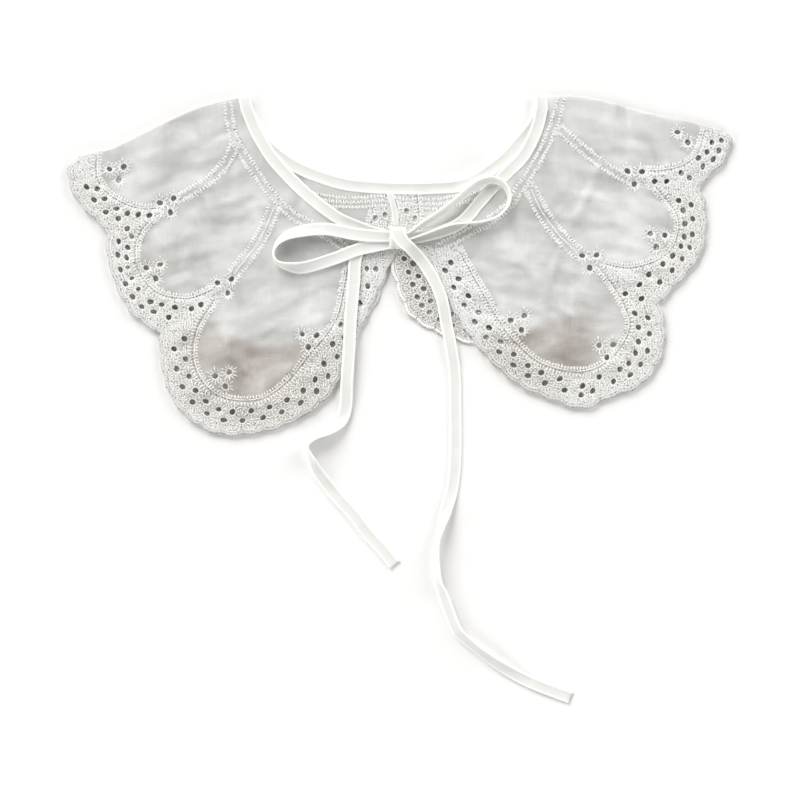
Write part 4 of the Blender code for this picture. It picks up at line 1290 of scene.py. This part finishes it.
# %% Embroider every layer
BORDERS = {}
LADDER_PIECES = {}
for layer in LAYERS:
    stitches = [rows for kind in (ring_stitches, ray_stitches, rim_stitches, fill_stitches)
                for rows in kind(layer)]
    BORDERS[layer] = sew(layer + "_border_stitches", stitches, seed=LAYERS.index(layer))
    LADDER_PIECES[layer] = sew(layer + "_ladder_stitches", ladder_stitches(layer),
                               turn_spread=0.08, size_spread=0.08)

# %% [markdown]
# The binding and the ties are one folded tape. Each stretch is a ribbon: a rounded section, carried
# along a route, with its own width and lean at every station.

# %% Ribbons
RIBBON_STEP = 2.0
RIBBON_SECTION = [(-1.0, 0.0), (-0.985, -0.75), (-0.94, -1.12), (-0.76, -1.12), (-0.62, -0.72),
                  (0.0, -0.6), (0.62, -0.72), (0.76, -1.12), (0.94, -1.12), (0.985, -0.75),
                  (1.0, 0.0), (0.985, 0.75), (0.94, 1.12), (0.76, 1.12), (0.62, 0.72),
                  (0.0, 0.6), (-0.62, 0.72), (-0.76, 1.12), (-0.94, 1.12), (-0.985, 0.75)]
# Share of the half width beyond which the rolled edge gets its painted highlight.
EDGE_HIGHLIGHT_START = 0.7


def outward_faces(mesh, weld=0.0):
    """Turn all the faces of a closed mesh outwards; points nearer than weld become one first."""
    shell = bmesh.new()
    shell.from_mesh(mesh)
    if weld:
        bmesh.ops.remove_doubles(shell, verts=shell.verts, dist=weld)
    bmesh.ops.recalc_face_normals(shell, faces=shell.faces)
    shell.to_mesh(mesh)
    shell.free()


def tube_faces(rings, corners, joined=False):
    """Four-sided faces between rings of points; joined adds those from the last to the first."""
    faces = []
    for ring in range(rings if joined else rings - 1):
        low, high = ring * corners, (ring + 1) % rings * corners
        for corner in range(corners):
            following = (corner + 1) % corners
            faces.append((low + corner, low + following, high + following, high + corner))
    return faces


def ribbon(name, middles, wide, thick):
    """A closed ribbon from middle points and its half width and half thickness vectors."""
    section = np.array(RIBBON_SECTION)
    points = middles[:, None] + wide[:, None] * section[:, :1] + thick[:, None] * section[:, 1:]
    count = len(section)
    faces = tube_faces(len(middles), count)
    faces.append(tuple(range(count))[::-1])
    faces.append(tuple((len(middles) - 1) * count + index for index in range(count)))
    piece = mesh_object(name, points.reshape(-1, 3), faces, TAPE)
    outward_faces(piece.data)
    # Points at the rolled edges, which get the tape's painted highlight.
    edge = np.tile(np.abs(section[:, 0]) > EDGE_HIGHLIGHT_START, len(middles)).astype(np.float32)
    piece.data.attributes.new("edge", "FLOAT", "POINT").data.foreach_set("value", edge)
    return piece


# %% Neck binding
FRONT_TAPE = 2.1
BACK_TAPE = 0.6
SHOULDER_STEPS = 10


def tape_stretch(layer):
    """Inner and outer edge of a stretch of tape, in three dimensions, from centre to shoulder."""
    route = smooth_path(TAPE_ROUTES[layer], RIBBON_STEP)
    turn = 1.0 if layer.endswith("left") else -1.0
    edges = [side_step(route, -turn * TAPE_WIDTH / 2), side_step(route, turn * TAPE_WIDTH / 2)]
    if layer.startswith("front"):
        left = path_run(route)[-1] - path_run(route)
        rolled = BACK_TAPE + 2 * FOLD_RADIUS
        height = FRONT_TAPE + (rolled - FRONT_TAPE) * (1.0 - smooth_share(left / FOLD_EASE))
    else:
        height = np.full(len(route), BACK_TAPE)
    return [np.column_stack([edge, height]) for edge in edges]


def tape_half(side):
    """Inner and outer edge of the tape on one side, front centre to back centre."""
    front = tape_stretch("front_" + side)
    back = tape_stretch("back_" + side)
    chain = fold_chain(side, FOLD_RADIUS + TAPE_WALL / 2)
    ends = np.vstack([chain[:1], walk(chain, TAPE_WIDTH)[0]])
    heading = (ends[1] - ends[0]) / TAPE_WIDTH
    turn = 1.0 if side == "right" else -1.0
    outward = np.array([-heading[1] * turn, heading[0] * turn])
    angle = math.pi * (1.0 - np.arange(SHOULDER_STEPS + 1) / SHOULDER_STEPS)
    edges = []
    for end, before, after in zip(ends, front, back):
        arc = np.column_stack([end + outward * FOLD_RADIUS * np.sin(angle)[:, None],
                               BACK_TAPE + FOLD_RADIUS * (1.0 - np.cos(angle))])
        edges.append(np.vstack([before, arc, after[::-1]]))
    return edges


def make_binding():
    """The whole neck binding, from one front end to the other."""
    left = tape_half("left")
    right = tape_half("right")
    inner, outer = (np.vstack([a, b[::-1][1:]]) for a, b in zip(left, right))
    middles = (inner + outer) / 2
    wide = (outer - inner) / 2
    along = np.gradient(middles, axis=0)
    thick = np.cross(along, wide)
    thick *= TAPE_WALL / 2 / np.linalg.norm(thick, axis=1)[:, None]
    return ribbon("neck_tape", middles, wide, thick), middles, wide, thick


BINDING, *BINDING_FRAME = make_binding()

# %% [markdown]
# The bow. Its loops and tails are the same tape, laid along routes that rise over the knot and turn
# on edge where the bow twists. They follow the frame's own routes, so they lie where its solids do.

# %% Shape the ties
# Share of the full width at the start and end of a tie, and how far along it is full again.
TIE_ENDS = {"bow_loop_left": (0.86, 0.86), "bow_loop_right": (0.62, 0.62),
            "tie_tail_left": (1.0, 1.0), "tie_tail_right": (1.34, 1.0)}
TIE_END_REACH = 15.0


def tie_frame(name):
    """Middle points and the half width and half thickness vectors of a tie."""
    route = smooth_path(TIES[name], RIBBON_STEP)
    run = path_run(route)
    first, last = TIE_ENDS[name]
    share = 1.0 + (first - 1.0) * (1.0 - smooth_share(run / TIE_END_REACH))
    share += (last - 1.0) * (1.0 - smooth_share((run[-1] - run) / TIE_END_REACH))
    heading = np.gradient(route[:, :2], axis=0)
    heading /= np.linalg.norm(heading, axis=1)[:, None]
    across = np.column_stack([-heading[:, 1], heading[:, 0]])
    tilt = np.radians(route[:, 3])
    half = TIE_WIDTHS[name] / 2 * share
    wide = np.column_stack([across * np.cos(tilt)[:, None], np.sin(tilt)])
    thick = np.column_stack([-across * np.sin(tilt)[:, None], np.cos(tilt)])
    rise = half * np.abs(np.sin(tilt)) + TIE_WALL / 2 * np.cos(tilt)
    middles = np.column_stack([route[:, :2], np.maximum(route[:, 2], 0.0) + rise])
    return middles, wide * half[:, None], thick * TIE_WALL / 2


TIE_FRAMES = {name: tie_frame(name) for name in TIES}
TIE_PIECES = {name: ribbon(name.split("_", 1)[1] + "_tape", *TIE_FRAMES[name]) for name in TIES}

# %% [markdown]
# The two halves meet at the centre back, where a narrow band of the same tape joins them.

# %% Centre back band
CENTRE_BAND = [(-6.4, 124.4), (-4.6, 119.0), (-3.2, 113.0), (-2.6, 107.0), (-2.6, 103.6)]
CENTRE_BAND_WIDTH = 3.4
CENTRE_BAND_WALL = 0.5
CENTRE_BAND_TOP = 1.55


def make_centre_band():
    """A narrow flat band over the meeting edges of the two back layers."""
    route = smooth_path(CENTRE_BAND, RIBBON_STEP)
    middles = np.column_stack([route, np.full(len(route), CENTRE_BAND_TOP - CENTRE_BAND_WALL / 2)])
    flat = side_step(route, CENTRE_BAND_WIDTH / 2) - route
    wide = np.column_stack([flat, np.zeros(len(route))])
    thick = np.tile([0.0, 0.0, CENTRE_BAND_WALL / 2], (len(route), 1))
    return ribbon("centre_back_tape", middles, wide, thick), middles


CENTRE_PIECE, CENTRE_LINE = make_centre_band()
print("centre back band length in mm:", round(float(path_run(CENTRE_LINE)[-1]), 1))

# %% [markdown]
# Sewing on the tape: a row of small machine stitches close to one edge, sunk a little into it.

# %% Edge stitching of the tape
SEAM_SPACING = 2.5
SEAM_SIZE = (1.8, 0.32, 0.3)
# Place of the row, as shares of the ribbon's half width and half thickness.
SEAM_PLACE = (0.74, 0.86)


def seam_rows(middles, wide, thick, face):
    """Stitches along one edge of a ribbon, on its upper face, 1, or its lower one, -1."""
    run = run_along(middles)
    spots = np.arange(SEAM_SPACING, run[-1] - 1.0, SEAM_SPACING)
    line = middles + wide * SEAM_PLACE[0] + thick * face * SEAM_PLACE[1]
    rows = []
    for spot in spots:
        place = [np.interp(spot, run, line[:, axis]) for axis in range(3)]
        index = min(int(np.searchsorted(run, spot)), len(run) - 1)
        along = Vector(line[index] - line[index - 1]).normalized()
        up = Vector(thick[index] * face).normalized()
        side = up.cross(along).normalized()
        turn = Matrix((along, side, along.cross(side))).transposed().to_euler()
        rows.append((*place, *turn, *SEAM_SIZE))
    return np.array(rows)


def sew_seam(piece, frame_rows):
    """The machine stitches of a ribbon, on both its faces."""
    return sew(piece.name + "_stitching", [seam_rows(*frame_rows, face) for face in (1.0, -1.0)],
               turn_spread=0.04, size_spread=0.1)


TAPE_SEAMS = sew_seam(BINDING, BINDING_FRAME)
TIE_SEAMS = {name: sew_seam(piece, TIE_FRAMES[name]) for name, piece in TIE_PIECES.items()}

# %% [markdown]
# The knot is one turn of the tape round the crossing strands. From above it is a short band,
# gathered into soft pleats, that goes over the strands and on into the right tail. The strands
# inside it are one small pillow, and the band is a ribbon wrapped round that pillow.

# %% Knot
KNOT_MIDDLE = np.array([-1.4, 96.7, 5.25])
KNOT_CORE = (4.6, 5.9, 2.0)
CORE_COLUMNS = 28
CORE_ROWS = 14
# Powers under 1 make a round section more like a pillow.
CORE_POWER = 0.6
WRAP_POWER = 0.75
WRAP_REACH = (6.3, 2.55)
WRAP_WIDTH = 9.6
WRAP_LEAN = 0.10
WRAP_PLEATS = [0.0, 0.28, 0.12, -0.22, 0.05, 0.3, -0.1, 0.16, 0.0]
WRAP_WALL = 0.5
WRAP_STEPS = 40
# The band is narrower below by this share, and its edges turn down by this much.
WRAP_PINCH = 0.16
WRAP_EDGE_DROP = 0.7


def signed_power(value, power):
    """A power of a value's size, with the value's own sign."""
    return math.copysign(abs(value) ** power, value)


def knot_core():
    """A rounded pillow for the strands inside the knot."""
    points = []
    for row in range(CORE_ROWS + 1):
        latitude = math.pi * (row / CORE_ROWS - 0.5)
        for column in range(CORE_COLUMNS):
            longitude = math.tau * column / CORE_COLUMNS
            unit = (math.cos(latitude) * math.cos(longitude), math.sin(latitude),
                    math.cos(latitude) * math.sin(longitude))
            points.append([middle + half * signed_power(value, CORE_POWER)
                           for middle, half, value in zip(KNOT_MIDDLE, KNOT_CORE, unit)])
    return points, tube_faces(CORE_ROWS + 1, CORE_COLUMNS)


def knot_wrap():
    """The band round the core: a closed ring of pleated section, pinched at its sides."""
    across = np.linspace(-0.5, 0.5, len(WRAP_PLEATS))
    section = [(u, WRAP_WALL / 2 + rise) for u, rise in zip(across, WRAP_PLEATS)]
    section += [(u, -WRAP_WALL / 2) for u in across[::-1]]
    points = []
    for step in range(WRAP_STEPS):
        angle = math.tau * step / WRAP_STEPS
        width = WRAP_WIDTH * (1.0 - WRAP_PINCH * (1.0 - max(math.sin(angle), 0.0)))
        for u, rise in section:
            radius = np.array(WRAP_REACH) + rise - WRAP_EDGE_DROP * (2 * u) ** 4
            x = KNOT_MIDDLE[0] + u * width + WRAP_LEAN * WRAP_REACH[0] * math.cos(angle)
            points.append([x, KNOT_MIDDLE[1] + radius[0] * math.cos(angle),
                           KNOT_MIDDLE[2] + radius[1] * signed_power(math.sin(angle), WRAP_POWER)])
    return points, tube_faces(WRAP_STEPS, len(section), joined=True)


def make_knot():
    """The core and the band in one mesh."""
    points, faces = knot_core()
    more, more_faces = knot_wrap()
    faces += [tuple(index + len(points) for index in face) for face in more_faces]
    knot = mesh_object("knot_tape", points + more, faces, TAPE)
    outward_faces(knot.data, weld=0.001 * MM)
    knot.data.shade_smooth()
    return knot


KNOT = make_knot()
print("knot faces:", len(KNOT.data.polygons))

# %% [markdown]
# Pieces ride on the one body.

# %% Put each piece on the body, and hide the frame's parts it stands in for
for side, panel in PANELS.items():
    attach(panel, "root")
    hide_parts(side + "_panel")
    embroidery = [group[layer] for group in (BORDERS, LADDER_PIECES) for layer in LAYERS
                  if layer.endswith(side)]
    for piece in embroidery:
        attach(piece, "root")

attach(BINDING, "root")
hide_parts("neck_binding")
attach(TAPE_SEAMS, "root")
for name, piece in TIE_PIECES.items():
    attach(piece, "root")
    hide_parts(name)
    seams = TIE_SEAMS[name]
    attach(seams, "root")
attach(CENTRE_PIECE, "root")
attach(KNOT, "root")
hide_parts("bow_knot")

# %% [markdown]
# The studio: a matt white table, a soft low light from the upper left that rakes over the stitches
# and leaves the holes dark, weaker low ones from the other three sides, and a weak even sky.

# %% Floor, lights and camera
# Half the side of the table and the height of its top, in millimetres.
TABLE_HALF = 2000.0
TABLE_TOP = -0.2


def make_floor():
    """The table that the collar lies on."""
    material, tree, shader = new_material("matt_white_table", Roughness=0.95)
    cloud = add_node(tree, "ShaderNodeTexNoise", {"Vector": own_place(tree), "Scale": 6.0,
                                                  "Detail": 2.0})
    finish_shader(tree, shader, blend(tree, cloud.outputs["Fac"], "F3F2F0", "F6F5F3"))
    corners = [(x * TABLE_HALF, y * TABLE_HALF, TABLE_TOP)
               for x, y in ((-1, -1), (1, -1), (1, 1), (-1, 1))]
    floor = mesh_object("table", corners, [(0, 1, 2, 3)], material)


# Each sun: elevation and azimuth in degrees, strength, apparent size in degrees.
SUNS = {"key": (30, 118, 3.3, 40), "right": (22, 30, 1.8, 38), "front": (20, -65, 1.4, 38),
        "left": (24, 200, 1.4, 40)}
SKY_STRENGTH = 0.06
FRAME_WIDTH = 0.48
LENS = 85.0
SENSOR = 36.0


def make_lights():
    """The suns and the sky."""
    for name, (elevation, azimuth, strength, size) in SUNS.items():
        sun = bpy.data.lights.new(name, "SUN")
        sun.energy = strength
        sun.angle = math.radians(size)
        lamp = bpy.data.objects.new(name, sun)
        up, round_z = math.radians(elevation), math.radians(azimuth)
        direction = Vector((math.cos(round_z) * math.cos(up), math.sin(round_z) * math.cos(up),
                            math.sin(up)))
        lamp.rotation_euler = direction.to_track_quat("Z", "Y").to_euler()
        bpy.context.scene.collection.objects.link(lamp)
    world = bpy.data.worlds.new("studio")
    world.use_nodes = True
    sky = world.node_tree.nodes["Background"]
    sky.inputs["Color"].default_value = from_hex("FBFCFF")
    sky.inputs["Strength"].default_value = SKY_STRENGTH
    bpy.context.scene.world = world


def make_camera():
    """A camera that looks straight down, high enough to take in the frame's width."""
    lens = bpy.data.cameras.new("camera")
    lens.lens = LENS
    lens.sensor_width = SENSOR
    camera = bpy.data.objects.new("camera", lens)
    camera.location = (0.0, 0.0, FRAME_WIDTH * LENS / SENSOR)
    bpy.context.scene.collection.objects.link(camera)
    bpy.context.scene.camera = camera


make_floor()
make_lights()
make_camera()
bpy.context.scene.view_settings.view_transform = "Standard"
